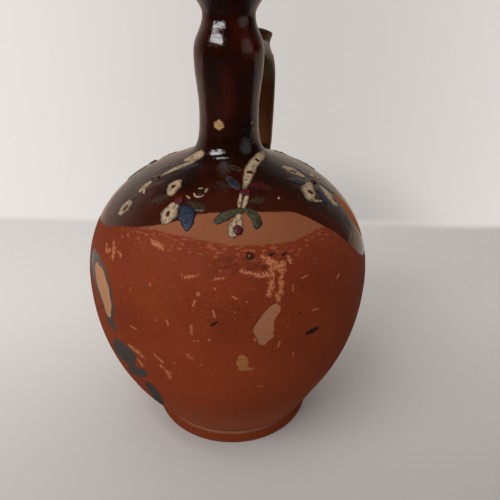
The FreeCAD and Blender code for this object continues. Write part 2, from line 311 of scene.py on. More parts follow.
@dataclass
class ThrownPot:
    """The thrown body: foot, belly, shoulder, neck and flared mouth, hollow and open on top."""

    belly_radius: float
    lip_height: float
    foot_radius: float = 40.0
    foot_top_radius: float = 38.6
    foot_band: float = 6.5
    foot_edge: float = 1.5
    foot_groove: float = 1.1
    rise_angle: float = 57.0
    rise_share: float = 0.32
    belly_height: float = 78.0
    belly_share: float = 0.46
    crown_share: float = 0.53
    shoulder_radius: float = 22.6
    shoulder_height: float = 132.2
    shoulder_angle: float = 20.0
    shoulder_share: float = 0.63
    throat_share: float = 0.74
    throat_depth_share: float = 0.84
    waist_radius: float = 12.6
    waist_height: float = 151.0
    bulge_radius: float = 14.4
    bulge_height: float = 175.5
    collar_radius: float = 10.5
    collar_height: float = 189.2
    lip_radius: float = 21.5
    lip_angle: float = 70.0
    lip_edge: float = 1.2
    mouth_share: float = 0.25
    neck_ease: float = 0.42
    wall: float = 5.0
    neck_wall: float = 3.2
    floor_thickness: float = 8.0
    floor_ease: float = 3.3
    foot_shift: float = 2.0
    foot_shift_reach: float = 26.0
    bulge_ease: float = 7.0
    bulge_rounds: int = 8
    belly_steps: int = 24
    neck_steps: int = 16
    steps_round: int = 192

    def curves(self, wall: float, neck_wall: float, start: Place) -> list[Bend]:
        """Draw the six curves from the foot to the lip.

        Args:
            wall: How far the belly curves lie inside the skin.
            neck_wall: How far the neck curves lie inside the skin.
            start: The radius and height that the lowest curve rises from.

        Returns:
            The curves in order upwards.
        """
        rise = self.rise_share * (self.belly_height - self.foot_band)
        rising, flatness = math.radians(self.rise_angle), math.radians(self.shoulder_angle)
        belly = (self.belly_radius - wall, self.belly_height)
        shoulder = (
            self.shoulder_radius - wall * math.sin(flatness),
            self.shoulder_height - wall * math.cos(flatness),
        )
        waist = (self.waist_radius - neck_wall, self.waist_height)
        bulge = (self.bulge_radius - neck_wall, self.bulge_height)
        collar = (self.collar_radius - neck_wall, self.collar_height)
        opening = math.radians(self.lip_angle)
        lip = (self.lip_radius - neck_wall / math.sin(opening), self.lip_height)
        flat = self.shoulder_share * (belly[0] - shoulder[0])
        turn = self.throat_share * (shoulder[0] - waist[0])
        flare = self.mouth_share * (self.lip_height - self.collar_height)
        return [
            Bend(
                start,
                (start[0] + rise * math.cos(rising), start[1] + rise * math.sin(rising)),
                (belly[0], belly[1] + (start[1] - belly[1]) * self.belly_share),
                belly,
                self.belly_steps,
            ),
            Bend(
                belly,
                (belly[0], belly[1] + (shoulder[1] - belly[1]) * self.crown_share),
                (shoulder[0] + flat, shoulder[1] - flat * math.tan(flatness)),
                shoulder,
                self.belly_steps,
            ),
            Bend(
                shoulder,
                (shoulder[0] - turn, shoulder[1] + turn * math.tan(flatness)),
                (waist[0], waist[1] + (shoulder[1] - waist[1]) * self.throat_depth_share),
                waist,
                self.neck_steps,
            ),
            self.upright_bend(waist, bulge),
            self.upright_bend(bulge, collar),
            Bend(
                collar,
                (collar[0], collar[1] + flare),
                (lip[0] - flare * math.cos(opening), lip[1] - flare * math.sin(opening)),
                lip,
                self.neck_steps,
            ),
        ]

    def upright_bend(self, low: Place, high: Place) -> Bend:
        """Return a bend of the neck that is upright at both ends."""
        ease = (high[1] - low[1]) * self.neck_ease
        return Bend(low, (low[0], low[1] + ease), (high[0], high[1] - ease), high)

    def skin(self) -> list[Bend]:
        """Return the curves of the outside, from the top of the foot to the lip."""
        return self.curves(0.0, 0.0, (self.foot_top_radius, self.foot_band))

    def outline(self) -> list[Bend]:
        """Draw the whole outline of the clay, outside and inside.

        Returns:
            The stretches from the middle of the underside, over the lip, to the middle of the
            floor inside.
        """
        slope = (self.foot_radius - self.foot_top_radius) / self.foot_band
        low_edge = (self.foot_radius - slope * self.foot_edge, self.foot_edge)
        groove_low = self.foot_band - self.foot_groove
        below = (self.foot_radius - slope * groove_low, groove_low)
        tip = (self.foot_top_radius - self.foot_groove, self.foot_band)
        foot = [
            straight((0.0, 0.0), (self.foot_radius - self.foot_edge, 0.0), steps=8),
            corner((self.foot_radius - self.foot_edge, 0.0), (self.foot_radius, 0.0), low_edge),
            straight(low_edge, below, steps=3),
            straight(below, tip, steps=2),
        ]
        outside = self.skin()
        above = share_at_height(outside[0], self.foot_band + self.foot_groove)
        outside[0] = outside[0].split(above)[1]
        lip_start = self.lip_height - self.lip_edge
        outside[-1] = outside[-1].split(share_at_height(outside[-1], lip_start))[0]
        hollow_start = (self.foot_top_radius - self.wall, self.floor_thickness)
        inside = self.curves(self.wall, self.neck_wall, hollow_start)
        inner_lip = inside[-1].end
        inside[-1] = inside[-1].split(share_at_height(inside[-1], lip_start))[0]
        rounding = share_at_height(inside[0], self.floor_thickness + self.floor_ease)
        inside[0] = inside[0].split(rounding)[1]
        outer_top = (self.lip_radius - self.lip_edge, self.lip_height)
        inner_top = (inner_lip[0] + self.lip_edge, self.lip_height)
        floor_edge = (hollow_start[0] - self.floor_ease, self.floor_thickness)
        return [
            *foot,
            straight(tip, outside[0].start, steps=2),
            *outside,
            corner(outside[-1].end, (self.lip_radius, self.lip_height), outer_top),
            straight(outer_top, inner_top),
            corner(inner_top, inner_lip, inside[-1].end),
            *(bend.turned_round() for bend in reversed(inside)),
            corner(inside[0].start, hollow_start, floor_edge, steps=6),
            straight(floor_edge, (0.0, self.floor_thickness), steps=8),
        ]

    def middle_of_wall(self) -> list[Bend]:
        """Draw the outline of a plug that fills the hollow up to the middle of the wall.

        Returns:
            The stretches from the axis back to the axis.
        """
        start = (self.foot_top_radius - self.wall / 2, self.floor_thickness / 2)
        curves = self.curves(self.wall / 2, self.neck_wall / 2, start)
        return [
            straight((0.0, start[1]), start, steps=4),
            *curves,
            straight(curves[-1].end, (0.0, self.lip_height), steps=4),
        ]

    def throw(self) -> bpy.types.Object:
        """Spin the outline and let the foot sit a little off the middle, as it was trimmed.

        Returns:
            The closed mesh of the pot.
        """
        pot = lathe("jug_clay", self.outline(), self.steps_round)
        select_vertices(pot, places_of(pot)[:, 2] < self.floor_thickness - MERGE / MM)
        right, shift = math.radians(FACING + 90), self.foot_shift * MM
        with editing():
            bpy.ops.transform.translate(
                value=(shift * math.cos(right), shift * math.sin(right), 0),
                use_proportional_edit=True,
                proportional_edit_falloff="SMOOTH",
                proportional_size=self.foot_shift_reach * MM,
            )
        off_bulge = np.abs(places_of(pot)[:, 2] - self.bulge_height)
        select_vertices(pot, off_bulge < self.bulge_ease)
        with editing():
            bpy.ops.mesh.vertices_smooth(factor=0.5, repeat=self.bulge_rounds)
        return pot


@dataclass
class StrapHandle:
    """The pulled strap that leaves the neck under the collar and comes down on the shoulder."""

    top_height: float = 179.5
    width: float = 17.0
    thickness: float = 6.6
    reach: float = 40.0
    drop: float = 20.0
    shoulder_share: float = 0.62
    bend_share: float = 0.7
    root_radius: float = 37.0
    root_height: float = 115.2
    lower_bend_share: float = 0.45
    steps_along: int = 22
    steps_round: int = 10

    def route(self) -> list[Bend]:
        """Draw the centre line of the strap.

        Returns:
            The upper and the lower bend, as distances from the axis and heights.
        """
        outer = (self.reach, self.top_height - self.drop)
        fall = outer[1] - self.root_height
        return [
            Bend(
                (0.0, self.top_height),
                (self.reach * self.shoulder_share, self.top_height),
                (self.reach, outer[1] + self.bend_share * self.drop),
                outer,
                self.steps_along,
            ),
            Bend(
                outer,
                (self.reach, outer[1] - self.lower_bend_share * fall),
                (self.root_radius, self.root_height + self.lower_bend_share * fall),
                (self.root_radius, self.root_height),
                self.steps_along,
            ),
        ]

    def pull(self) -> bpy.types.Object:
        """Sweep an oval along the route.

        Returns:
            The closed mesh of the strap.
        """
        clear_selection()
        bpy.ops.curve.primitive_bezier_circle_add(radius=MM)
        section = bpy.context.object
        section.data.resolution_u = self.steps_round
        with editing():
            bpy.ops.curve.select_all(action="SELECT")
            bpy.ops.transform.resize(value=(self.width / 2, self.thickness / 2, 1))

        upper, lower = self.route()
        strap = draw_bends("strap", [upper], ACROSS_Y)
        points = strap.data.splines[0].bezier_points
        points.add(1)
        lead, trail, end = (
            ACROSS_Y @ Vector((across * MM, height * MM, 0))
            for across, height in (lower.lead, lower.trail, lower.end)
        )
        points[1].handle_right = lead
        points[2].handle_left_type = points[2].handle_right_type = "FREE"
        points[2].handle_left, points[2].co, points[2].handle_right = trail, end, end
        strap.data.twist_mode = "MINIMUM"
        strap.data.bevel_mode = "OBJECT"
        strap.data.bevel_object = section
        strap.data.use_fill_caps = True
        pick(strap)
        bpy.ops.object.convert(target="MESH")
        bpy.data.objects.remove(section)
        with editing():
            merge_all()
            face_outwards()
        return strap


@dataclass
class ThumbRest:
    """The button on the bend of the strap, waisted below and domed on top."""

    distance: float = 29.3
    base_height: float = 174.75
    waist_radius: float = 8.0
    rim_radius: float = 9.4
    rim_height: float = 6.4
    dome_height: float = 8.4
    lean: float = 14.0
    stem_share: float = 0.6
    flare_share: float = 0.8
    flare_end: float = 0.9
    rim_ease: float = 0.8
    dome_lead: Place = (6.0, 7.8)
    dome_flat_radius: float = 3.0
    steps_up: int = 10
    steps_round: int = 64

    def shape(self) -> bpy.types.Object:
        """Lathe the button and lean it away from the neck.

        Returns:
            The closed mesh of the button, in its place.
        """
        rim = (self.rim_radius, self.rim_height)
        side = Bend(
            (self.waist_radius, 0.0),
            (self.waist_radius, self.rim_height * self.stem_share),
            (self.waist_radius, self.rim_height * self.flare_share),
            rim,
            self.steps_up,
        ).split(self.flare_end)[0]
        over = (self.rim_radius - self.rim_ease, self.rim_height + self.rim_ease / 2)
        top, flat = (0.0, self.dome_height), (self.dome_flat_radius, self.dome_height)
        outline = [
            straight((0.0, 0.0), side.start, steps=4),
            side,
            corner(side.end, rim, over),
            Bend(over, self.dome_lead, flat, top, self.steps_up),
        ]
        rest = lathe("thumb_rest", outline, self.steps_round)
        lean = Matrix.Rotation(-math.radians(self.lean), 4, "X")
        place = Matrix.Translation((0, self.distance * MM, self.base_height * MM))
        rest.data.transform(place @ lean)
        return rest


@dataclass
class Jug:
    """The fired jug: pot, strap and thumb rest joined into one closed mesh."""

    pot: ThrownPot
    strap: StrapHandle = field(default_factory=StrapHandle)
    rest: ThumbRest = field(default_factory=ThumbRest)
    plug_steps: int = 96
    crease_angle: float = 24.0
    smooth_angle: float = 50.0
    seam_depth: float = 6.0
    seam_half_width: float = 15.0
    seam_low: float = 100.0
    seam_below_collar: float = 2.0
    seam_inside_waist: float = 1.0
    smoothing_rounds: int = 8
    smoothing_growths: int = 3

    def build(self) -> bpy.types.Object:
        """Join the parts, round off their seams and shade the clay smooth.

        Returns:
            The closed mesh of the jug.
        """
        clay = self.pot.throw()
        strap = self.strap.pull()
        plug = lathe("plug", self.pot.middle_of_wall(), self.plug_steps)
        combine(strap, plug, "DIFFERENCE")
        combine(strap, self.rest.shape(), "UNION")
        combine(clay, strap, "UNION")
        self.round_seams(clay)
        pick(clay)
        bpy.ops.object.shade_smooth_by_angle(angle=math.radians(self.smooth_angle))
        return clay

    def round_seams(self, clay: bpy.types.Object) -> None:
        """Relax the clay round the roots of the strap and under the thumb rest.

        Args:
            clay: The joined mesh.
        """
        pick(clay)
        with editing():
            bpy.ops.mesh.select_all(action="DESELECT")
            bpy.ops.mesh.select_mode(type="EDGE")
            bpy.ops.mesh.edges_select_sharp(sharpness=math.radians(self.crease_angle))
        seams = np.empty(len(clay.data.vertices), dtype=bool)
        clay.data.vertices.foreach_get("select", seams)
        x, y, height = places_of(clay).T
        near_handle = (y > self.seam_depth) & (np.abs(x) < self.seam_half_width)
        outside = np.hypot(x, y) > self.pot.waist_radius - self.seam_inside_waist
        below_collar = height < self.pot.collar_height - self.seam_below_collar
        on_neck = (height > self.seam_low) & below_collar
        select_vertices(clay, seams & near_handle & on_neck & outside)
        with editing():
            bpy.ops.mesh.select_mode(type="VERT")
            for _ in range(self.smoothing_growths):
                bpy.ops.mesh.vertices_smooth(factor=0.5, repeat=self.smoothing_rounds)
                bpy.ops.mesh.select_more()
            face_outwards()


class Skin:
    """The outside of the thrown pot, which finds a place on the clay for a turn and a height."""

    samples_per_bend: int = 80

    def __init__(self, bends: Iterable[Bend]) -> None:
        """Measure the outline.

        Args:
            bends: The outline of the outside, from the foot upwards.
        """
        shares = np.linspace(0, 1, self.samples_per_bend)
        places = np.array([bend.at(share) for bend in bends for share in shares])
        steps = np.hypot(*np.diff(places, axis=0).T)
        kept = np.concatenate(([True], steps > TINY))
        self.radii, self.heights = places[kept].T
        self.runs = np.concatenate(([0.0], np.cumsum(steps[steps > TINY])))

    def run_at(self, height: float) -> float:
        """Return how far up the outline a height lies, measured along it."""
        return float(np.interp(height, self.heights, self.runs))

    def radius_at(self, run: np.ndarray) -> np.ndarray:
        """Return the radius at distances along the outline."""
        return np.interp(run, self.runs, self.radii)

    def lift_off(self, turn: np.ndarray, run: np.ndarray, lift: np.ndarray) -> np.ndarray:
        """Find places on or over the skin.

        Args:
            turn: Degrees round the pot.
            run: Distances along the outline.
            lift: Distances off the skin, outwards.

        Returns:
            One place in a row, in millimetres.
        """
        radius, height = self.radius_at(run), np.interp(run, self.runs, self.heights)
        slope_out = np.gradient(self.heights, self.runs)
        slope_up = -np.gradient(self.radii, self.runs)
        radius = radius + lift * np.interp(run, self.runs, slope_out)
        height = height + lift * np.interp(run, self.runs, slope_up)
        angle = np.radians(turn + FACING)
        return np.stack((radius * np.cos(angle), radius * np.sin(angle), height), axis=-1)

    def spot(self, place: Place) -> Vector:
        """Return the place on the skin at a turn and a height."""
        turn, height = place
        return Vector(self.lift_off(np.array(turn), np.array(self.run_at(height)), np.array(0.0)))


@dataclass(frozen=True)
class Reach:
    """Between which values a coat sets in or dies away, and what share of it shows."""

    low: float
    high: float
    share: float


class Shade:
    """A shader socket that takes part in Python expressions."""

    def __init__(self, bench: "NodeBench", socket: bpy.types.NodeSocket) -> None:
        """Wrap a socket of the bench's tree."""
        self.bench, self.socket = bench, socket

    def __add__(self, other: "Shade | float") -> "Shade":
        """Return the sum."""
        return self.bench.math("ADD", self, other)

    __radd__ = __add__

    def __sub__(self, other: "Shade | float") -> "Shade":
        """Return the difference."""
        return self.bench.math("SUBTRACT", self, other)

    def __rsub__(self, other: float) -> "Shade":
        """Return the difference with the sides changed."""
        return self.bench.math("SUBTRACT", other, self)

    def __mul__(self, other: "Shade | float") -> "Shade":
        """Return the product."""
        return self.bench.math("MULTIPLY", self, other)

    __rmul__ = __mul__

    def least(self, other: "Shade | float") -> "Shade":
        """Return the smaller of the two."""
        return self.bench.math("MINIMUM", self, other)

    def most(self, other: "Shade | float") -> "Shade":
        """Return the larger of the two."""
        return self.bench.math("MAXIMUM", self, other)

    def fade(self, low: float, high: float) -> "Shade":
        """Return a soft step from 0 at the low value to 1 at the high value."""
        return self.bench.node(
            "MapRange",
            {"interpolation_type": "SMOOTHSTEP"},
            {"Value": self, "From Min": low, "From Max": high},
        )

    def out(self, low: float, high: float) -> "Shade":
        """Return a soft step down from 1 at the low value to 0 at the high value."""
        return 1 - self.fade(low, high)

    def over(self, reach: Reach) -> "Shade":
        """Return the share of a coat that sets in upwards."""
        return self.fade(reach.low, reach.high) * reach.share

    def under(self, reach: Reach) -> "Shade":
        """Return the share of a coat that dies away upwards."""
        return self.out(reach.low, reach.high) * reach.share


Value = Shade | float | Sequence[float]


class NodeBench:
    """The node tree of one material, with one way to add a node."""

    def __init__(self, tree: bpy.types.NodeTree) -> None:
        """Work on a tree."""
        self.tree = tree

    def node(
        self,
        kind: str,
        settings: Mapping[str, object] | None = None,
        inputs: Mapping[str | int, Value] | None = None,
        output: int | str = 0,
    ) -> Shade:
        """Add a node.

        Args:
            kind: The type of the node, without its first words.
            settings: What the node does, set before its inputs.
            inputs: Values or links by the name or number of the socket.
            output: The socket to return.

        Returns:
            The chosen output.
        """
        node = self.tree.nodes.new(f"ShaderNode{kind}")
        for name, value in (settings or {}).items():
            if name == "bends":
                self.bend_curve(node.mapping, value)
            else:
                setattr(node, name, value)
        for name, value in (inputs or {}).items():
            self.feed(node.inputs[name], value)
        return Shade(self, node.outputs[output])

    def feed(self, socket: bpy.types.NodeSocket, value: Value) -> None:
        """Link a shade to a socket, or set its value.

        Args:
            socket: The input of a node.
            value: A shade to link, or a number, colour or vector to set.
        """
        if isinstance(value, Shade):
            self.tree.links.new(value.socket, socket)
        elif socket.type == "RGBA":
            socket.default_value = (*value, 1.0)
        else:
            socket.default_value = value

    def bend_curve(self, mapping: bpy.types.CurveMapping, places: Sequence[Place]) -> None:
        """Draw a float curve through places.

        Args:
            mapping: The curve of a Float Curve node.
            places: Where it passes, from left to right.
        """
        points = mapping.curves[0].points
        points[0].location, points[1].location = places[0], places[-1]
        for place in places[1:-1]:
            points.new(*place)
        mapping.update()

    def math(self, operation: str, *values: Value) -> Shade:
        """Add a Math node."""
        return self.node("Math", {"operation": operation}, dict(enumerate(values)))

    def vector(self, operation: str, *values: Value, output: int | str = 0) -> Shade:
        """Add a Vector Math node."""
        return self.node("VectorMath", {"operation": operation}, dict(enumerate(values)), output)

    def scaled(self, places: Value, factor: Value) -> Shade:
        """Add a Vector Math node that scales a vector."""
        return self.node("VectorMath", {"operation": "SCALE"}, {0: places, "Scale": factor})

    def project(self, places: Value, direction: Sequence[float]) -> Shade:
        """Return how far places lie in a direction."""
        return self.vector("DOT_PRODUCT", places, direction, output="Value")

    def apart(self, first: Value, second: Value) -> Shade:
        """Return how far two places lie apart."""
        return self.vector("DISTANCE", first, second, output="Value")

    def own_places(self) -> Shade:
        """Return the object's own coordinates, in millimetres."""
        return self.scaled(self.node("TexCoord", output="Object"), 1 / MM)

    def mix(self, share: Value, first: Value, second: Value) -> Shade:
        """Mix two colours."""
        inputs = {"Factor": share, 6: first, 7: second}
        return self.node("Mix", {"data_type": "RGBA"}, inputs, 2)

    def lay_over(self, base: Value, *coats: tuple[Value, Value]) -> Shade:
        """Lay coats over a colour, one after the other.

        Args:
            base: The colour underneath.
            coats: The share and the colour of each coat, the lowest first.

        Returns:
            The colour that shows.
        """
        for share, colour in coats:
            base = self.mix(share, base, colour)
        return base

    def noise(
        self, places: Shade, size: float, detail: float = 2.0, roughness: float = 0.5
    ) -> Shade:
        """Add a noise that lies round zero.

        Args:
            places: The places to read, in millimetres.
            size: The size of its waves, in millimetres.
            detail: How many finer waves are added.
            roughness: How strong the finer waves are.

        Returns:
            A value that mostly lies between -0.25 and 0.25.
        """
        inputs = {"Vector": places, "Scale": 1 / size, "Detail": detail, "Roughness": roughness}
        return self.node("TexNoise", {}, inputs) - 0.5

    def bump(self, relief: Shade) -> Shade:
        """Return the normal of a surface that stands out by a relief in millimetres."""
        return self.node("Bump", {}, {"Height": relief, "Distance": MM}, "Normal")

    def shader(self, inputs: Mapping[str, Value]) -> Shade:
        """Feed the tree's own surface shader.

        Args:
            inputs: Values or shades by the name of the socket.

        Returns:
            The output of the shader.
        """
        shader = self.tree.nodes["Principled BSDF"]
        for name, value in inputs.items():
            self.feed(shader.inputs[name], value)
        return Shade(self, shader.outputs[0])

    def show(self, share: Shade, first: Shade, second: Shade) -> None:
        """Show a mix of two shaders as the surface."""
        surface = self.node("MixShader", {}, {0: share, 1: first, 2: second})
        self.feed(self.tree.nodes["Material Output"].inputs["Surface"], surface)


def new_bench(name: str) -> tuple[bpy.types.Material, NodeBench]:
    """Make an empty material.

    Args:
        name: The name of the material.

    Returns:
        The material and the bench of its nodes.
    """
    material = bpy.data.materials.new(name)
    material.use_nodes = True
    return material, NodeBench(material.node_tree)


class ClayPlaces:
    """Where a point of the clay lies, worked out from its own coordinates."""

    def __init__(self, bench: NodeBench) -> None:
        """Add the nodes that read the place.

        Args:
            bench: The bench to add nodes to.
        """
        self.bench = bench
        self.place = bench.own_places()
        facing = math.radians(FACING)
        ahead = bench.project(self.place, (math.cos(facing), math.sin(facing), 0.0))
        aside = bench.project(self.place, (-math.sin(facing), math.cos(facing), 0.0))
        self.turn = bench.math("ARCTAN2", aside, ahead) * math.degrees(1)
        self.depth = bench.node("SeparateXYZ", {}, {"Vector": self.place}, "Y")
        self.height = bench.node("SeparateXYZ", {}, {"Vector": self.place}, "Z")

    def noise(
        self,
        size: float,
        detail: float = 2.0,
        roughness: float = 0.5,
        across: float = 1.0,
        up: float = 1.0,
    ) -> Shade:
        """Add a noise that lies round zero, and that may be drawn out into streaks.

        Args:
            size: The size of its waves, in millimetres.
            detail: How many finer waves are added.
            roughness: How strong the finer waves are.
            across: What level lengths are scaled by, which is less than 1 for level streaks.
            up: What upright lengths are scaled by, which is less than 1 for upright streaks.

        Returns:
            A value that mostly lies between -0.25 and 0.25.
        """
        places = self.bench.vector("MULTIPLY", self.place, (across, across, up))
        return self.bench.noise(places, size, detail, roughness)

    def height_round(self, places: Sequence[Place]) -> Shade:
        """Return the height of a line drawn round the pot.

        Args:
            places: Turns and heights of the line, from the back round to the back.

        Returns:
            The height of the line at the turn of the point.
        """
        heights = [height for _, height in places]
        low, high = min(heights), max(heights)
        bends = [((turn + 180) / 360, (height - low) / (high - low)) for turn, height in places]
        share = (self.turn + 180) * (1 / 360)
        line = self.bench.node("FloatCurve", {"bends": bends}, {"Value": share})
        return line * (high - low) + low


GLAZE_EDGE = (
    (-180, 101), (-150, 98), (-120, 98), (-98, 102), (-82, 106.6), (-68, 108.4), (-60, 110.6),
    (-54, 112.4), (-46, 114.1), (-39, 115.7), (-32.3, 117.4), (-25.6, 119.1), (-21, 120.3),
    (-15, 121.8), (-1, 122.8), (13, 122.5), (24, 121.9), (32, 121.1), (37, 119.7), (42.4, 117),
    (45.7, 114.9), (49, 112.8), (55.8, 106.3), (60.2, 101.8), (64.6, 97.4), (70, 94.5), (80, 93),
    (100, 94), (130, 98), (155, 102), (180, 101),
)
SLIP_EDGE = (
    (-180, 120), (-60, 119), (-48, 116.4), (-42, 115), (-36.4, 115.6), (-30.9, 115.7),
    (-20.5, 115.5), (-8.7, 115), (-0.5, 114.2), (8.4, 113.9), (16.7, 113.6), (26.5, 113.4),
    (34.3, 114), (39.3, 114.3), (43.5, 114.4), (47.7, 114.3), (53, 116), (66, 116), (180, 118),
)


@dataclass(frozen=True)
class Marks:
    """The marks of one kind on the skin, with how ragged and how soft their edges are."""

    routes: tuple[tuple[Touch, ...], ...]
    torn: float = 0.0
    crumbled: float = 0.0
    soft: Place = (-0.2, 0.2)

    def distance(self, clay: ClayPlaces, skin: Skin) -> Shade:
        """Measure how far a point lies outside the nearest mark.

        Args:
            clay: Where the point lies.
            skin: The skin that the marks lie on.

        Returns:
            The distance, which is negative inside a mark.
        """
        distances = []
        for route in self.routes:
            places = [skin.spot((turn, height)) for turn, height, _ in route]
            radii = [width / 2 for _, _, width in route]
            if len(route) == 1:
                distances.append(clay.bench.apart(clay.place, tuple(places[0])) - radii[0])
            for stretch in zip(places, places[1:], radii, radii[1:]):
                distances.append(self.stretch_distance(clay, *stretch))
        return reduce(Shade.least, distances)

    def stretch_distance(
        self, clay: ClayPlaces, start: Vector, end: Vector, near: float, far: float
    ) -> Shade:
        """Measure how far a point lies outside one tapered stretch.

        Args:
            clay: Where the point lies.
            start: Where the stretch starts.
            end: Where it ends.
            near: Its radius at the start.
            far: Its radius at the end.

        Returns:
            The distance, which is negative inside the stretch.
        """
        bench, stretch = clay.bench, end - start
        offset = bench.vector("SUBTRACT", clay.place, tuple(start))
        share = bench.project(offset, tuple(stretch / stretch.length_squared)).most(0.0).least(1.0)
        along = bench.scaled(tuple(stretch), share)
        return bench.apart(offset, along) - (share * (far - near) + near)


def spots(*touches: Touch) -> tuple[tuple[Touch, ...], ...]:
    """Return the routes of round marks, one for each touch."""
    return tuple((touch,) for touch in touches)


CLAY_CHIPS = (
    (
        (-60.2, 93.3, 5.5), (-56.2, 90.9, 10.0), (-52.6, 87.5, 10.0), (-50.4, 83.1, 8.0),
        (-50, 78.5, 5.0),
    ),
)
WORN_PATCHES = (
    (
        (15.4, 92.0, 4.6), (13.6, 90.2, 5.0), (12.2, 87.6, 6.0), (11.5, 84.8, 8.2),
        (11.9, 82.3, 6.6), (11.3, 79.8, 4.0),
    ),
)
SLIP_SCRAPES = (
    ((12.6, 110.4, 1.2), (14.3, 109.4, 2.0), (16.3, 107.6, 2.8), (18.8, 106.1, 2.6)),
    (
        (4.2, 106.4, 0.7), (6.7, 105.6, 1.1), (9.5, 104.8, 1.6), (12.8, 104.5, 2.0),
        (15.4, 104.6, 2.0),
    ),
    ((15.6, 105.8, 2.3), (15.1, 102.6, 1.6), (14.5, 100.0, 2.0), (13.6, 98.0, 1.6)),
    (
        (20.3, 107.4, 2.0), (19.4, 105.3, 2.0), (18.5, 102.1, 1.3), (18.1, 99.4, 1.6),
        (17.9, 97.7, 2.0),
    ),
    ((16.4, 96.9, 1.6), (17.0, 95.3, 1.2)),
    ((22.8, 109.0, 1.2), (23.5, 106.9, 0.8)),
    ((-38.6, 67.6, 1.8), (-34.4, 66.1, 2.6), (-32.7, 64.8, 1.8)),
    ((-37.9, 63.6, 1.2), (-34.4, 59.3, 2.2)),
    ((-27.0, 68.8, 0.8), (-24.0, 66.0, 0.8)),
    ((-14.0, 72.4, 0.7), (-12.4, 71.0, 0.7)),
    ((-25.0, 63.4, 1.4), (-23.6, 62.3, 1.2), (-22.2, 60.6, 2.2), (-22.2, 57.6, 1.2)),
    ((-32.7, 112.4, 1.7), (-30.3, 111.9, 1.8), (-26.0, 110.7, 0.5)),
    ((-57.2, 104.4, 1.2), (-55.4, 102.6, 1.8), (-53.2, 103.8, 1.4)),
    ((-53.1, 106.9, 1.0), (-50.6, 104.6, 1.7), (-49.6, 101.6, 1.0)),
    ((-47.2, 105.0, 0.9), (-45.6, 104.2, 1.0)),
    ((39.5, 37.6, 1.6), (42.5, 39.0, 2.6), (45.4, 41.2, 2.4), (48.0, 43.4, 1.6)),
    ((-16.8, 103.8, 0.5), (-14.9, 103.7, 0.5), (-11.0, 104.7, 0.5)),
    ((-4.9, 103.8, 0.4), (-0.8, 104.6, 0.4)),
)
SLIP_SMUDGE = (
    ((-7.0, 107.2, 3.0), (3.0, 108.2, 6.0), (12.0, 106.6, 7.0), (22.0, 108.0, 3.0)),
)
FLECKS = (
    *spots(
        (7.7, 110.9, 1.3), (-10.6, 98.5, 1.6), (-25.3, 85.7, 0.9), (-28.6, 98.8, 1.0),
        (-4.8, 100.6, 0.8), (-11.7, 79.8, 0.9), (-10.4, 79.9, 0.8), (-6.6, 80.8, 1.2),
        (8.5, 80.6, 1.2), (1.9, 92.4, 0.8), (5.9, 95.9, 0.8), (-9.7, 68.4, 0.8),
        (-19.5, 67.1, 1.1),
    ),
    ((-11.5, 95.9, 0.9), (-12.1, 94.0, 0.9)),
    ((-12.6, 86.1, 1.0), (-12.5, 83.1, 1.0)),
    ((-5.3, 92.7, 0.8), (-4.8, 90.5, 0.8)),
    ((-21.1, 86.5, 0.9), (-20.7, 84.9, 0.9)),
    ((0.9, 98.2, 0.7), (2.3, 97.2, 0.7)),
    ((22.7, 71.2, 0.7), (22.8, 69.0, 0.7)),
    ((30.0, 88.0, 0.8), (32.3, 87.6, 0.7)),
    ((22.8, 99.6, 0.8), (22.5, 97.5, 0.7)),
    ((26.8, 101.2, 0.6), (29.5, 101.7, 0.5)),
    ((43.1, 96.3, 0.9), (44.6, 97.3, 0.9)),
    ((10.6, 55.7, 1.0), (12.1, 55.3, 1.0)),
    ((16.7, 75.6, 1.0), (17.3, 77.8, 1.0)),
    ((-36.4, 78.8, 0.9), (-34.0, 78.4, 0.8)),
)
GLAZE_DRIPS = (
    (
        (-66.2, 94.4, 9.0), (-61.3, 92.8, 12.5), (-55.8, 90.3, 14.5), (-52.4, 86.6, 14.0),
        (-50.1, 82.1, 11.0), (-49.5, 77.2, 7.0), (-48.9, 73.7, 6.0), (-47, 72.7, 4.0),
    ),
    ((-50.0, 57.0, 8.0), (-44.6, 60.0, 14.5), (-40.0, 62.4, 8.0)),
    ((-45.0, 48.8, 4.0), (-40.0, 51.6, 6.4), (-35.0, 54.6, 5.0)),
    ((-34.4, 45.6, 6.0), (-34.4, 40.0, 8.0), (-36.0, 33.0, 6.6), (-38.2, 27.5, 4.0)),
    ((15.8, 110.5, 1.1), (17.5, 110.7, 0.9)),
    ((21.0, 109.9, 0.9), (22.4, 110.3, 0.9)),
    ((27.9, 78.5, 1.6), (29.9, 78.6, 2.6), (32.1, 78.9, 1.6)),
    ((-6.0, 87.2, 0.8), (-4.6, 87.9, 1.0), (-3.7, 88.5, 0.6)),
    *spots((7.9, 110.8, 3.0), (24.7, 88.4, 0.9), (-30.5, 97.2, 0.9)),
)
OCHRE_PATCH = (
    ((4.3, 72.4, 3.0), (4.5, 70.1, 4.8), (4.7, 67.4, 3.6)),
    ((4.7, 67.4, 2.2), (7.5, 66.3, 1.1)),
)
GLAZE_CHIPS = spots((-18.8, 148.5, 4.0), (48.6, 148.7, 1.4), (54.9, 146.0, 1.2))
BARE_STREAK = (
    (
        (76.5, 117.8, 4.0), (76.0, 113.8, 8.0), (76.2, 109.0, 9.0), (76.8, 104.5, 6.0),
        (77, 101, 3.0),
    ),
)


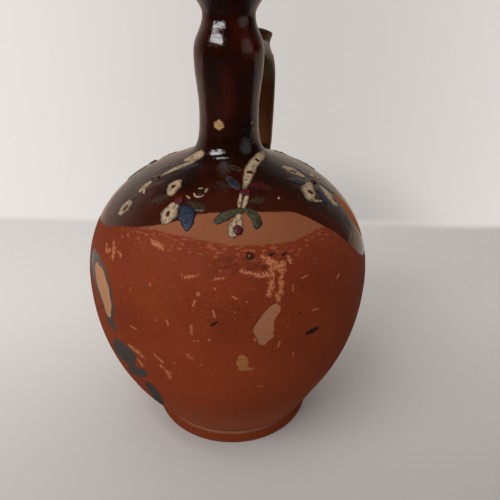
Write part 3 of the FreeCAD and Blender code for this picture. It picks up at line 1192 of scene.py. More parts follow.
class Wear:
    """The noises, the edges and the marks that the colour, gloss and relief of the clay share."""

    def __init__(self, clay: ClayPlaces, skin: Skin) -> None:
        """Add the nodes.

        Args:
            clay: Where the point lies.
            skin: The skin that the marks lie on.
        """
        self.clay, self.skin = clay, skin
        self.ragged = clay.noise(1.6, 3.0)
        self.broad = clay.noise(26.0)
        self.brushed = clay.noise(1.1, 3.0, 0.6, across=0.05)
        self.grain = clay.noise(0.7)
        self.scuffs = clay.noise(0.8, across=0.3)
        self.torn = self.ragged * 1.3
        self.crumbled = self.torn * 0.6 + self.grain * 2.2

        self.over_glaze_edge = clay.height - clay.height_round(GLAZE_EDGE)
        self.over_slip_edge = clay.height - clay.height_round(SLIP_EDGE)
        self.glazed = (self.over_glaze_edge + self.ragged * 0.7).fade(-0.25, 0.25)
        slip_edge = self.over_slip_edge + self.ragged * 0.8 + self.grain * 1.2
        self.bare = slip_edge.fade(-0.4, 0.4)

        self.patched = self.mask(Marks(WORN_PATCHES, torn=1.1))
        self.scraped = self.mask(Marks(SLIP_SCRAPES, torn=0.6, crumbled=1.2, soft=(-0.3, 0.5)))
        self.flecked = self.mask(Marks(FLECKS, crumbled=0.5, soft=(-0.25, 0.2)))
        self.ochre = self.mask(Marks(OCHRE_PATCH, torn=1.0, soft=(-0.3, 0.3)))
        self.chipped = self.mask(Marks(CLAY_CHIPS, torn=0.5))
        self.bared = self.mask(Marks(BARE_STREAK, torn=1.0, soft=(-0.3, 0.3)))
        self.broken = self.mask(Marks(GLAZE_CHIPS, torn=1.3, crumbled=0.8, soft=(-0.2, 0.3)))
        self.smudged = self.mask(Marks(SLIP_SMUDGE, soft=(-2.5, 3.5)))
        drips = self.mask(Marks(GLAZE_DRIPS, torn=0.6))
        self.dripped = drips * (1 - self.chipped.most(self.flecked * 0.6))

    def mask(self, marks: Marks) -> Shade:
        """Return 1 inside marks of one kind and 0 outside."""
        ragged_edge = self.torn * marks.torn + self.crumbled * marks.crumbled
        return (marks.distance(self.clay, self.skin) + ragged_edge).out(*marks.soft)


@dataclass(frozen=True)
class FiredFinish:
    """The slip, the bare clay, the glaze and the wear on the thrown clay, with some painted
    highlight, reflection and bounce light.
    """

    slip: Colour = tone(118, 48, 21)
    slip_dark: Colour = tone(98, 35, 15)
    slip_line: Colour = tone(146, 76, 42)
    slip_warm: Colour = tone(138, 57, 27)
    # A paler slip painted on the lower belly as bounce light from the table.
    low_painted_bounce_light: Colour = tone(156, 86, 56)
    bare: Colour = tone(122, 72, 46)
    bare_dark: Colour = tone(112, 62, 38)
    chip: Colour = tone(158, 112, 82)
    patch: Colour = tone(140, 90, 66)
    smudge: Colour = tone(58, 26, 15)
    ochre: Colour = tone(140, 88, 42)
    fleck: Colour = tone(156, 94, 62)
    # The grey of the drips near the left outline is a painted grazing reflection.
    drip_and_painted_reflection: Colour = tone(66, 61, 56)
    drip_dark: Colour = tone(40, 24, 18)
    glaze: Colour = tone(22, 7, 3)
    glaze_thin: Colour = tone(60, 15, 6)
    glaze_edge: Colour = tone(58, 21, 11)
    glaze_brown: Colour = tone(112, 70, 38)
    glaze_umber: Colour = tone(72, 38, 20)
    # A painted grey-green reflection on the bend of the strap.
    painted_strap_reflection: Colour = tone(92, 74, 48)
    rest_brown: Colour = tone(84, 48, 26)
    glaze_chip: Colour = tone(170, 138, 98)
    glaze_chip_low: Colour = tone(132, 98, 62)
    foot: Colour = tone(108, 44, 19)
    foot_rim: Colour = tone(118, 56, 24)
    # The pale line in the foot groove: wear, with a painted highlight.
    foot_groove_wear_and_highlight: Colour = tone(138, 104, 84)
    foot_top: float = 6.4
    matte_roughness: float = 0.65
    matte_shine: float = 0.08
    glaze_roughness: float = 0.07
    drip_gloss: float = 0.45
    rest_gloss: float = 0.4
    slip_cover: Place = (0.15, 0.85)
    brush_lines: Reach = Reach(0.12, 0.36, 0.4)
    pale_grain: Reach = Reach(0.05, 0.3, 0.6)
    dark_grain: Reach = Reach(-0.3, -0.08, 0.5)
    worn_areas: Reach = Reach(-0.1, 0.25, 0.5)
    worn_edge: Reach = Reach(-14.0, -1.0, 0.9)
    scuff_marks: Reach = Reach(0.22, 0.34, 0.8)
    dark_band: Reach = Reach(86.0, 112.0, 0.45)
    warm_band: Reach = Reach(45.0, 96.0, 0.6)
    low_painted_bounce_band: Reach = Reach(6.0, 46.0, 0.75)
    bare_mottle: Place = (0.1, 0.9)
    foot_edge: Place = (-0.4, 0.4)
    rim_band: Place = (0.3, 1.8)
    groove_reach: Place = (0.3, 1.3)
    # Where the painted highlight in the groove is strongest, how it fades round the pot, and the
    # wear left all round.
    groove_highlight_turn: float = 6.0
    groove_highlight_reach: Reach = Reach(14.0, 70.0, 0.5)
    groove_wear_least: float = 0.15
    soot: Reach = Reach(-0.12, 0.16, 0.6)
    scrape_cover: Place = (-0.16, 0.04)
    fleck_share: float = 0.75
    speckles: Place = (-0.05, 0.2)
    patch_speckle: float = 0.3
    ochre_speckle: float = 0.6
    chip_crumbs: Place = (-0.12, 0.12)
    ring_relief: float = 0.12
    ripple_relief: float = 0.22
    fine_ripple_relief: float = 0.13
    brush_relief: float = 0.04
    grain_relief: float = 0.02
    chip_depth: float = 0.3
    drip_soot: Reach = Reach(-0.1, 0.15, 0.35)
    # Turns over which the painted grey reflection on the drips gives way to their own dark brown.
    drip_reflection_turns: Place = (-25.0, -8.0)
    thin_glaze: Place = (-0.06, 0.3)
    glaze_edge_band: Place = (0.5, 12.0)
    umber_band: Place = (122.0, 152.0)
    strap_streaks: Reach = Reach(-0.25, 0.3, 0.5)
    strap_inside_depth: float = 22.0
    strap_inside_heights: Place = (120.0, 160.0)
    strap_inside_reach: Place = (16.0, 17.6)
    strap_inside_start: Place = (17.0, 20.0)
    strap_inside_foot: Place = (146.0, 149.0)
    # Heights of the painted reflection on the bend of the strap.
    strap_reflection_low: Place = (158.0, 165.0)
    strap_reflection_high: Reach = Reach(171.0, 176.0, 0.8)
    thumb_rest_rim: Triple = (0.0, 29.0, 184.0)
    thumb_rest_reach: Place = (11.0, 13.0)
    thumb_rest_base: Place = (177.0, 179.0)

    def make(self, skin: Skin) -> bpy.types.Material:
        """Lay slip, glaze and wear over the clay.

        Args:
            skin: The skin that the marks lie on.

        Returns:
            The finished material.
        """
        material, bench = new_bench("fired_clay")
        clay = ClayPlaces(bench)
        wear = Wear(clay, skin)
        rest = self.rest_mask(clay)
        # Drips near the left outline get the grey of a painted grazing reflection; further round
        # they keep their own dark brown.
        drip_and_painted_reflection = bench.mix(clay.turn.fade(*self.drip_reflection_turns), self.drip_and_painted_reflection, self.drip_dark)
        drip_and_painted_reflection = bench.mix(wear.grain.over(self.drip_soot), drip_and_painted_reflection, self.smudge)
        covered = wear.glazed * (1 - wear.broken.most(wear.bared))
        glossy = covered.most(wear.dripped * self.drip_gloss)
        glossy = glossy * (1 - rest * (1 - self.rest_gloss))
        normal = bench.bump(self.relief(wear, glossy))
        clay_colour = self.marked_colour(wear, self.foot_colour(wear, self.slip_colour(wear)))
        matte = bench.shader(
            {
                "Base Color": bench.lay_over(
                    clay_colour, (wear.dripped, drip_and_painted_reflection), (rest, self.rest_brown)
                ),
                "Normal": normal,
                "Roughness": self.matte_roughness,
                "Specular IOR Level": self.matte_shine,
            }
        )
        gloss = bench.node(
            "BsdfPrincipled",
            {},
            {
                "Base Color": bench.mix(wear.dripped, self.glaze_colour(wear, rest), drip_and_painted_reflection),
                "Normal": normal,
                "Roughness": self.glaze_roughness,
            },
        )
        bench.show(glossy, matte, gloss)
        return material

    def slip_colour(self, wear: Wear) -> Shade:
        """Work out the colour of the slip, and of the bare clay over its edge.

        Args:
            wear: The noises and edges on the clay.

        Returns:
            The colour, with brush lines, grain and scuffs, darkest under the shoulder, and paler
            low down with painted bounce light.
        """
        clay, bench = wear.clay, wear.clay.bench
        brushed, grain, broad = wear.brushed, wear.grain, wear.broad
        worn = clay.noise(18.0).over(self.worn_areas) + wear.over_slip_edge.over(self.worn_edge)
        slip = bench.lay_over(
            self.slip_dark,
            ((broad + brushed * 0.3 + 0.5).fade(*self.slip_cover), self.slip),
            (brushed.over(self.brush_lines), self.slip_line),
            (grain.over(self.pale_grain), self.slip_line),
            (grain.under(self.dark_grain), self.slip_dark),
            ((wear.scuffs + worn * 0.17).over(self.scuff_marks), self.fleck),
            (clay.height.over(self.dark_band), self.slip_dark),
            # The warm and pale coats on the lower belly are painted bounce light from the table
            # under it.
            (clay.height.under(self.warm_band), self.slip_warm),
            (clay.height.under(self.low_painted_bounce_band), self.low_painted_bounce_light),
        )
        mottle = (grain * 0.6 + broad + 0.5).fade(*self.bare_mottle)
        return bench.mix(wear.bare, slip, bench.mix(mottle, self.bare_dark, self.bare))

    def foot_colour(self, wear: Wear, colour: Shade) -> Shade:
        """Lay the foot, its worn groove with a painted highlight, and its rubbed rim over the slip.

        Args:
            wear: The noises on the clay.
            colour: The colour of the slip.

        Returns:
            The colour of slip and foot.
        """
        clay, bench = wear.clay, wear.clay.bench
        over_foot = clay.height - self.foot_top + wear.brushed
        groove = bench.math("ABSOLUTE", over_foot).out(*self.groove_reach)
        # The pale line in the groove is wear all round plus a painted highlight, strongest on the
        # side facing the camera.
        off_front = bench.math("ABSOLUTE", clay.turn - self.groove_highlight_turn)
        groove_wear_and_highlight = groove * (off_front.under(self.groove_highlight_reach) + self.groove_wear_least)
        return bench.lay_over(
            colour,
            (over_foot.out(*self.foot_edge), self.foot),
            (groove_wear_and_highlight, self.foot_groove_wear_and_highlight),
            (clay.height.out(*self.rim_band), self.foot_rim),
        )

    def marked_colour(self, wear: Wear, colour: Shade) -> Shade:
        """Lay the marks over slip and foot.

        Args:
            wear: The marks on the clay.
            colour: The colour of slip and foot.

        Returns:
            The colour with smudge, scrapes, flecks, worn patches and chips.
        """
        clay, bench, grain = wear.clay, wear.clay.bench, wear.grain
        scribble = clay.noise(0.9, 3.0, 0.7, up=0.6) + wear.scuffs * 0.5
        sooty = clay.noise(1.8, 3.0, 0.7, across=0.5).over(self.soot)
        speckle = grain.fade(*self.speckles)
        crumbs = bench.mix(grain.fade(*self.chip_crumbs), self.glaze_chip_low, self.glaze_chip)
        return bench.lay_over(
            colour,
            (wear.smudged * sooty, self.smudge),
            (wear.scraped * scribble.fade(*self.scrape_cover), self.fleck),
            (wear.flecked * self.fleck_share, self.fleck),
            (wear.patched, bench.mix(speckle * self.patch_speckle, self.patch, self.chip)),
            (wear.ochre, bench.mix(speckle * self.ochre_speckle, self.ochre, self.chip)),
            (wear.chipped, self.chip),
            (wear.bared, self.slip_line),
            (wear.broken, crumbs),
        )

    def relief(self, wear: Wear, glossy: Shade) -> Shade:
        """Work out how far the surface stands out.

        Args:
            wear: The noises and marks on the clay.
            glossy: How much of the point is covered with gloss.

        Returns:
            The relief, in millimetres.
        """
        clay = wear.clay
        rings = clay.noise(4.0, across=0.04) * self.ring_relief
        ripple = clay.noise(6.0) * self.ripple_relief
        ripple = ripple + clay.noise(1.6, 3.0, 0.6) * self.fine_ripple_relief
        brush_lines = wear.brushed * self.brush_relief + wear.grain * self.grain_relief
        chips = wear.chipped.most(wear.patched) * self.chip_depth
        return rings + glossy * ripple + (1 - glossy) * brush_lines - chips

    def glaze_colour(self, wear: Wear, rest: Shade) -> Shade:
        """Work out the colour of the glaze.

        Args:
            wear: The edges on the clay.
            rest: The part that is the thumb rest.

        Returns:
            The colour: nearly black where thick, red where thin, brown inside the strap, with a
                painted grey-green reflection on its bend.
        """
        clay, bench = wear.clay, wear.clay.bench
        thin = clay.noise(16.0, 3.0, up=0.5).fade(*self.thin_glaze)
        spotted = clay.noise(2.0, 3.0) + 0.5
        low = wear.over_glaze_edge.out(*self.glaze_edge_band) * (spotted * 0.7 + 0.3)
        streaks = clay.noise(3.0, up=0.2).over(self.strap_streaks)
        # A grey-green painted reflection lies on the bend of the strap.
        bend = clay.height.fade(*self.strap_reflection_low) * clay.height.under(self.strap_reflection_high)
        brown = bench.lay_over(
            self.glaze_umber,
            (clay.height.out(*self.umber_band), self.glaze_brown),
            (streaks, self.glaze_edge),
            (bend, self.painted_strap_reflection),
        )
        return bench.lay_over(
            self.glaze,
            (thin, self.glaze_thin),
            (low, self.glaze_edge),
            (self.strap_mask(clay).most(rest), brown),
        )

    def strap_mask(self, clay: ClayPlaces) -> Shade:
        """Find the inside of the strap.

        Args:
            clay: Where the point lies.

        Returns:
            1 on the inside of the strap and 0 elsewhere.
        """
        bench, depth, (low, high) = clay.bench, self.strap_inside_depth, self.strap_inside_heights
        side_view = bench.vector("MULTIPLY", clay.place, (0.0, 1.0, 1.0))
        nearest = bench.vector("MINIMUM", side_view, (0.0, depth, high))
        nearest = bench.vector("MAXIMUM", nearest, (0.0, depth, low))
        inside = bench.apart(side_view, nearest).out(*self.strap_inside_reach)
        over_shoulder = (clay.height + clay.depth * 0.5).fade(*self.strap_inside_foot)
        return inside * clay.depth.fade(*self.strap_inside_start) * over_shoulder

    def rest_mask(self, clay: ClayPlaces) -> Shade:
        """Return the part of the clay that is the thumb rest, where the glaze is rubbed dull."""
        near = clay.bench.apart(clay.place, self.thumb_rest_rim).out(*self.thumb_rest_reach)
        return near * clay.height.fade(*self.thumb_rest_base)


class Pigment(Enum):
    """The enamels of the painter, with their screen colours."""

    CREAM = (156, 132, 104)
    WORN_CREAM = (66, 48, 36)
    CRIMSON = (78, 6, 18)
    FADED_CRIMSON = (66, 17, 20)
    BLUE = (26, 36, 58)
    FADED_BLUE = (32, 36, 48)
    GREEN = (62, 58, 36)
    FADED_GREEN = (54, 42, 26)
    BLACK = (26, 20, 16)


FADED = (Pigment.FADED_CRIMSON, Pigment.FADED_BLUE, Pigment.FADED_GREEN, Pigment.BLACK)
BODY = "body"  # the attribute that says how full the enamel lies, from 0 at the rim to 1


@dataclass(frozen=True)
class Stroke:
    """One touch of the brush: the turns, heights and widths it passes through."""

    pigment: Pigment
    relief: float
    route: tuple[Touch, ...]


def dot(pigment: Pigment, relief: float, touch: Touch) -> Stroke:
    """Return a round touch."""
    return Stroke(pigment, relief, (touch,))


LEFT_SPRAY = (
    Stroke(
        Pigment.CREAM, 0.4,
        ((-65, 132.6, 4.4), (-59, 133.9, 6.6), (-52, 135.2, 6.4), (-42, 135.8, 4.2)),
    ),
    Stroke(
        Pigment.CREAM, 0.3,
        ((-48, 133.8, 2.2), (-53, 132.5, 3.0), (-57, 131.0, 3.2), (-61, 127.9, 3.0)),
    ),
    Stroke(Pigment.FADED_CRIMSON, 0.5, ((-65.5, 126.5, 3.6), (-60.5, 128.0, 3.4))),
    Stroke(Pigment.CREAM, 0.3, ((-61.5, 126.4, 2.6), (-62, 124.6, 3.8), (-60.7, 122.4, 3.2))),
    Stroke(Pigment.CREAM, 0.3, ((-60, 124.0, 1.6), (-56, 123.0, 1.4))),
    Stroke(Pigment.GREEN, 0.2, ((-59.5, 122.4, 2.6), (-61.5, 121.0, 3.8), (-62.5, 119.4, 2.4))),
    Stroke(Pigment.CREAM, 0.3, ((-60, 120.0, 4.8), (-60.3, 117.6, 6.8), (-60, 114.6, 5.4))),
    Stroke(Pigment.WORN_CREAM, 0.5, ((-59.8, 118.4, 2.6), (-59.2, 116.4, 2.4))),
    Stroke(Pigment.FADED_CRIMSON, 0.1, ((-58, 124.6, 3.0), (-55, 126.0, 3.6), (-50, 127.4, 2.2))),
    Stroke(Pigment.FADED_BLUE, 0.1, ((-72, 129.0, 2.4), (-69, 130.8, 2.2))),
    Stroke(Pigment.FADED_BLUE, 0.1, ((-53, 130.9, 2.4), (-46, 132.0, 3.6), (-38, 133.2, 3.2))),
    Stroke(Pigment.CREAM, 0.4, ((-38.5, 129.1, 2.6), (-39.6, 127.3, 7.0), (-36, 125.0, 4.0))),
    Stroke(Pigment.FADED_CRIMSON, 0.58, ((-41.2, 127.0, 3.0), (-38.2, 127.2, 3.0))),
    dot(Pigment.CRIMSON, 0.65, (-29.2, 124.3, 4.2)),
    Stroke(Pigment.CREAM, 0.4, ((-30, 124.0, 4.2), (-30.6, 120.9, 7.6), (-30, 117.7, 5.4))),
    Stroke(Pigment.FADED_CRIMSON, 0.55, ((-31.4, 121.3, 2.2), (-30.3, 119.6, 2.2))),
    Stroke(Pigment.BLUE, 0.4, ((-26.4, 123.3, 3.6), (-21.0, 121.0, 7.8), (-18.6, 117.0, 3.0))),
    Stroke(Pigment.FADED_GREEN, 0.1, ((-45, 121.6, 3.4), (-41.6, 123.4, 5.0), (-37, 124.8, 3.4))),
    Stroke(
        Pigment.FADED_GREEN, 0.1,
        ((-25.5, 124.6, 3.0), (-18.2, 123.9, 5.2), (-12, 123.7, 4.2)),
    ),
)
LEFT_WORN = (
    Stroke(Pigment.CREAM, 0.2, ((-23, 126.9, 1.0), (-19.6, 126.0, 1.1), (-15.5, 126.7, 1.0))),
    Stroke(Pigment.CREAM, 0.2, ((-15.8, 127.2, 1.3), (-15, 128.3, 1.2))),
    Stroke(Pigment.CREAM, 0.2, ((-21.6, 127.9, 0.8), (-18, 128.2, 0.9))),
    Stroke(Pigment.CREAM, 0.2, ((-26.6, 125.9, 0.9), (-23.4, 125.3, 0.9))),
    Stroke(Pigment.BLACK, 0.1, ((-20.8, 127.0, 1.9), (-16.6, 127.3, 1.9))),
)
CENTRE_SPRAY = (
    Stroke(
        Pigment.CREAM, 0.35,
        (
            (74, 135.6, 4.2), (45, 134.5, 4.6), (29, 133.3, 4.8), (17.7, 131.3, 4.6),
            (10.6, 128.2, 4.2),
        ),
    ),
    Stroke(Pigment.CREAM, 0.3, ((9.6, 128.2, 1.7), (6.6, 125.9, 1.6), (5.4, 123.7, 1.8))),
    Stroke(Pigment.CREAM, 0.3, ((12.8, 128.0, 2.0), (10, 125.7, 2.0), (7.3, 123.5, 2.2))),
    dot(Pigment.FADED_CRIMSON, 0.6, (41, 134.2, 2.4)),
    Stroke(Pigment.FADED_CRIMSON, 0.62, ((17.4, 132.0, 2.2), (23.4, 131.6, 2.2))),
    Stroke(Pigment.CRIMSON, 0.72, ((7.2, 127.5, 3.7), (14.0, 127.2, 3.7))),
    Stroke(Pigment.WORN_CREAM, 0.15, ((-1.6, 131.3, 3.2), (3.4, 129.7, 4.6), (7.4, 128.1, 3.0))),
    Stroke(Pigment.BLUE, 0.3, ((0, 130.9, 2.2), (3.4, 129.7, 3.1), (6.4, 128.6, 2.2))),
    Stroke(Pigment.WORN_CREAM, 0.08, ((-1, 133.7, 2.4), (6.8, 133.1, 3.4), (13, 132.3, 2.6))),
    Stroke(Pigment.BLACK, 0.12, ((1.6, 133.4, 1.4), (6.8, 133.1, 2.0), (11, 132.6, 1.4))),
    Stroke(Pigment.FADED_CRIMSON, 0.08, ((15, 129.2, 3.8), (22.4, 128.6, 5.2), (30, 127.2, 3.8))),
    Stroke(Pigment.FADED_GREEN, 0.08, ((11.6, 125.1, 3.0), (16.8, 125.3, 5.2), (22, 125.4, 3.6))),
    Stroke(
        Pigment.GREEN, 0.25,
        ((9.4, 123.1, 2.4), (3.5, 122.8, 3.5), (-2, 121.8, 4.4), (-6.8, 119.7, 4.2)),
    ),
    Stroke(
        Pigment.GREEN, 0.25,
        ((6.8, 123.2, 2.4), (10.8, 122.6, 3.6), (13.2, 120.7, 4.2), (11.4, 118.3, 4.2)),
    ),
    Stroke(
        Pigment.CREAM, 0.4,
        ((5.2, 122.4, 2.6), (4, 120.4, 4.2), (2.5, 118.3, 6.4), (0.6, 116.2, 4.0)),
    ),
    dot(Pigment.CRIMSON, 0.75, (3.7, 118.1, 4.2)),
    dot(Pigment.CREAM, 0.3, (30.4, 125.0, 1.2)),
)
FLOWER = (
    Stroke(Pigment.FADED_BLUE, 0.15, ((48, 128.6, 3.4), (56.8, 127.2, 5.0), (65, 125.8, 3.8))),
    Stroke(Pigment.BLUE, 0.2, ((64.4, 123.4, 3.0), (62.1, 121.0, 4.6), (59, 118.8, 2.8))),
    Stroke(Pigment.FADED_BLUE, 0.15, ((77, 129.2, 3.4), (75.9, 127.6, 5.2), (74, 125.8, 3.6))),
    Stroke(Pigment.FADED_BLUE, 0.15, ((75, 123.6, 3.4), (77.4, 121.1, 5.2), (78, 118.3, 3.4))),
    Stroke(Pigment.CREAM, 0.3, ((63.4, 131.3, 3.2), (66.4, 129.3, 6.4), (68, 126.8, 3.8))),
    Stroke(Pigment.CREAM, 0.4, ((66.4, 125.3, 3.2), (55.6, 124.2, 7.4), (50.6, 121.7, 6.4))),
    Stroke(Pigment.CREAM, 0.3, ((51.4, 121.7, 1.7), (58, 120.4, 1.3))),
    Stroke(Pigment.CREAM, 0.3, ((71.4, 123.6, 3.2), (68.6, 120.3, 6.2), (65.6, 116.4, 6.0))),
    Stroke(Pigment.CREAM, 0.3, ((77.5, 126.4, 3.6), (80.5, 125.2, 4.6), (82, 123.8, 3.6))),
    Stroke(Pigment.FADED_CRIMSON, 0.46, ((63.6, 129.9, 2.2), (66.4, 128.7, 2.2))),
    Stroke(Pigment.FADED_CRIMSON, 0.55, ((53.6, 124.3, 3.2), (57.4, 123.3, 3.2))),
    Stroke(Pigment.FADED_CRIMSON, 0.46, ((68.6, 118.9, 2.4), (69.6, 117.5, 2.4))),
    dot(Pigment.FADED_CRIMSON, 0.46, (80.4, 125.0, 2.0)),
    dot(Pigment.CRIMSON, 0.6, (70.6, 124.9, 2.8)),
)
SPRAY_TO_BACK, FLOWER_TO_BACK = -85, 58  # turns that carry them round to the sides of the handle


@dataclass
class Painter:
    """Lays the strokes of the sprays on the skin as raised enamel."""

    skin: Skin
    seed: int = 11
    steps_along: int = 20
    steps_round: int = 16
    bed: float = 0.25
    bluntness: float = 0.55
    steepness: float = 1.6
    wobble: float = 0.07
    wobble_waves: Place = (13.0, 29.0)
    dice: random.Random = field(init=False)

    def __post_init__(self) -> None:
        """Start the wobble of the hand from its seed."""
        self.dice = random.Random(self.seed)

    def paint(self, strokes: Iterable[Stroke]) -> dict[Pigment, bpy.types.Object]:
        """Lay strokes and join those of one colour.

        Args:
            strokes: The strokes of all the sprays.

        Returns:
            One mesh for each colour.
        """
        by_pigment: dict[Pigment, list[bpy.types.Object]] = {}
        for stroke in strokes:
            by_pigment.setdefault(stroke.pigment, []).append(self.touch(stroke))
        painted = {}
        for pigment, touches in by_pigment.items():
            pick(*touches)
            if len(touches) > 1:
                bpy.ops.object.join()
            piece = touches[0]
            piece.name = f"{pigment.name.lower()}_enamel"
            bpy.ops.object.shade_smooth()
            painted[pigment] = piece
        return painted

    def touch(self, stroke: Stroke) -> bpy.types.Object:
        """Press a ball into one stroke on the skin.

        Args:
            stroke: The stroke to lay.

        Returns:
            The closed mesh of the stroke.
        """
        clear_selection()
        bpy.ops.mesh.primitive_uv_sphere_add(
            segments=self.steps_round, ring_count=self.steps_along, radius=1.0
        )
        piece = bpy.context.object
        ball = places_of(piece) * MM
        along, ring = ball[:, 2], np.sqrt(np.clip(1 - ball[:, 2] ** 2, 0, 1))
        share, off_pole = (along + 1) / 2, ring > TINY
        if len(stroke.route) == 1:
            centre, ahead, radius = self.dab(stroke.route[0], along)
            spread = ring * stroke.route[0][2]
        else:
            centre, ahead, radius = self.follow(stroke, share)
            spread = ring**self.bluntness * self.swell(stroke, share)
        side = np.divide(ball[:, 0], ring, out=np.zeros(len(ball)), where=off_pole)
        rise = np.divide(ball[:, 1], ring, out=np.zeros(len(ball)), where=off_pole)
        shift = side * spread / 2
        turn = centre[:, 0] + np.degrees(shift * ahead[:, 1] / radius)
        run = centre[:, 1] - shift * ahead[:, 0]
        lift = np.where(rise > 0, rise * stroke.relief, rise * self.bed)
        lift = lift * np.minimum(ring * self.steepness, 1)
        flat = self.skin.lift_off(turn, run, lift) * MM
        piece.data.vertices.foreach_set("co", flat.ravel())
        body = piece.data.attributes.new(BODY, "FLOAT", "POINT")
        body.data.foreach_set("value", np.clip(lift / stroke.relief, 0, 1))
        with editing():
            face_outwards()
        return piece

    def dab(
        self, touch: Touch, along: np.ndarray
    ) -> tuple[np.ndarray, np.ndarray, np.ndarray]:
        """Run upwards through a round touch.

        Args:
            touch: The turn, height and width of the touch.
            along: Where each point lies, from -1 at its lower end to 1 at its upper end.

        Returns:
            The turn and run of each point, its direction on the skin, and the radius there.
        """
        turn, height, width = touch
        run = self.skin.run_at(height)
        centre = np.array([[turn, run]] * len(along))
        centre[:, 1] += along * width / 2
        return centre, np.array([[0.0, 1.0]] * len(along)), self.skin.radius_at(run)

    def follow(
        self, stroke: Stroke, share: np.ndarray
    ) -> tuple[np.ndarray, np.ndarray, np.ndarray]:
        """Run along the route of a stroke.

        Args:
            stroke: The stroke to follow.
            share: How far along each point lies.

        Returns:
            The turn and run of each point, its direction on the skin, and its radius.
        """
        route = np.array([(turn, self.skin.run_at(height)) for turn, height, _ in stroke.route])
        knots = np.linspace(0, 1, len(route))
        degree = min(len(route) - 1, 3)
        curves = [np.polynomial.Polynomial.fit(knots, route[:, axis], degree) for axis in (0, 1)]
        centre = np.stack([curve(share) for curve in curves], axis=1)
        radius = self.skin.radius_at(centre[:, 1])
        speed = np.stack([curve.deriv()(share) for curve in curves], axis=1)
        speed[:, 0] = np.radians(speed[:, 0]) * radius
        return centre, speed / np.linalg.norm(speed, axis=1, keepdims=True), radius

    def swell(self, stroke: Stroke, share: np.ndarray) -> np.ndarray:
        """Work out the width along a stroke, with the wobble of the hand.

        Args:
            stroke: The stroke to follow.
            share: How far along each point lies.

        Returns:
            The width at each point.
        """
        widths = [width for _, _, width in stroke.route]
        width = np.interp(share, np.linspace(0, 1, len(widths)), widths)
        ripple = sum(
            np.sin(share * waves + self.dice.uniform(0, math.tau)) for waves in self.wobble_waves
        )
        return width * (1 + self.wobble * ripple)


@dataclass(frozen=True)
class Coat:
    """How an enamel lies: how full a stroke is where its colour is whole, and its surface."""

    full: float
    relief: float
    roughness: float
    shine: float


RAISED = Coat(full=0.8, relief=0.22, roughness=0.42, shine=0.3)
SUNKEN = Coat(full=1.0, relief=0.04, roughness=0.2, shine=0.5)


@dataclass(frozen=True)
class Enamel:
    """A fired enamel: thick in the middle of a stroke, worn thin along its rim, with painted shade
    there if raised.
    """

    pigment: Pigment
    worn_below: float = 0.4
    raggedness: float = 1.6
    pits: Reach = Reach(-0.05, 0.11, 0.8)
    # How dark the painted shade along the rim of a raised stroke is.
    rim_shade_share: float = 0.26
    under_glaze: Colour = tone(34, 13, 7)

    def make(self) -> bpy.types.Material:
        """Mix the enamel, which is thin, dark and shiny where it sank into the glaze.

        Returns:
            The finished material.
        """
        material, bench = new_bench(f"{self.pigment.name.lower()}_enamel")
        colour = tone(*self.pigment.value)
        sunken = self.pigment in FADED
        coat = SUNKEN if sunken else RAISED
        # A raised stroke gets a darker copy of its own colour along its rim as painted shade; a
        # sunken one shows the glaze beneath.
        rim = self.under_glaze if sunken else tuple(self.rim_shade_share * part for part in colour)
        place = bench.own_places()
        body = bench.node("Attribute", {"attribute_name": BODY}, output="Fac")
        ragged = bench.noise(place, 1.5, 3.0, 0.65)
        solid = (body + ragged * self.raggedness).fade(self.worn_below, coat.full)
        pitted = ragged.over(self.pits)
        bench.shader(
            {
                "Base Color": bench.mix(solid, rim, bench.mix(pitted, colour, rim)),
                "Normal": bench.bump(bench.noise(place, 0.8) * coat.relief),
                "Roughness": coat.roughness,
                "Specular IOR Level": coat.shine,
            }
        )
        return material


def dress(piece: bpy.types.Object, material: bpy.types.Material) -> None:
    """Give a piece one material."""
    piece.data.materials.clear()
    piece.data.materials.append(material)


def shifted(strokes: Iterable[Stroke], turn: float) -> list[Stroke]:
    """Return strokes moved round the pot by a turn."""
    return [
        Stroke(stroke.pigment, stroke.relief, tuple((t + turn, h, w) for t, h, w in stroke.route))
        for stroke in strokes
    ]


def lamp_ray(turn: float, height: float) -> Vector:
    """Aim away from the jug.

    Args:
        turn: The side of the jug, in degrees.
        height: Degrees above level.

    Returns:
        The direction, with a length of 1.
    """
    angle, rise = math.radians(turn + FACING), math.radians(height)
    level = math.cos(rise)
    return Vector((math.cos(angle) * level, math.sin(angle) * level, math.sin(rise)))


@dataclass(frozen=True)
class Lamp:
    """An oblong lamp that looks at the jug.

    Its turn is the side of the jug that it lights, its height is in degrees above level, its size
    in metres and its power in watts.
    """

    name: str
    turn: float
    height: float
    size: Place
    power: float


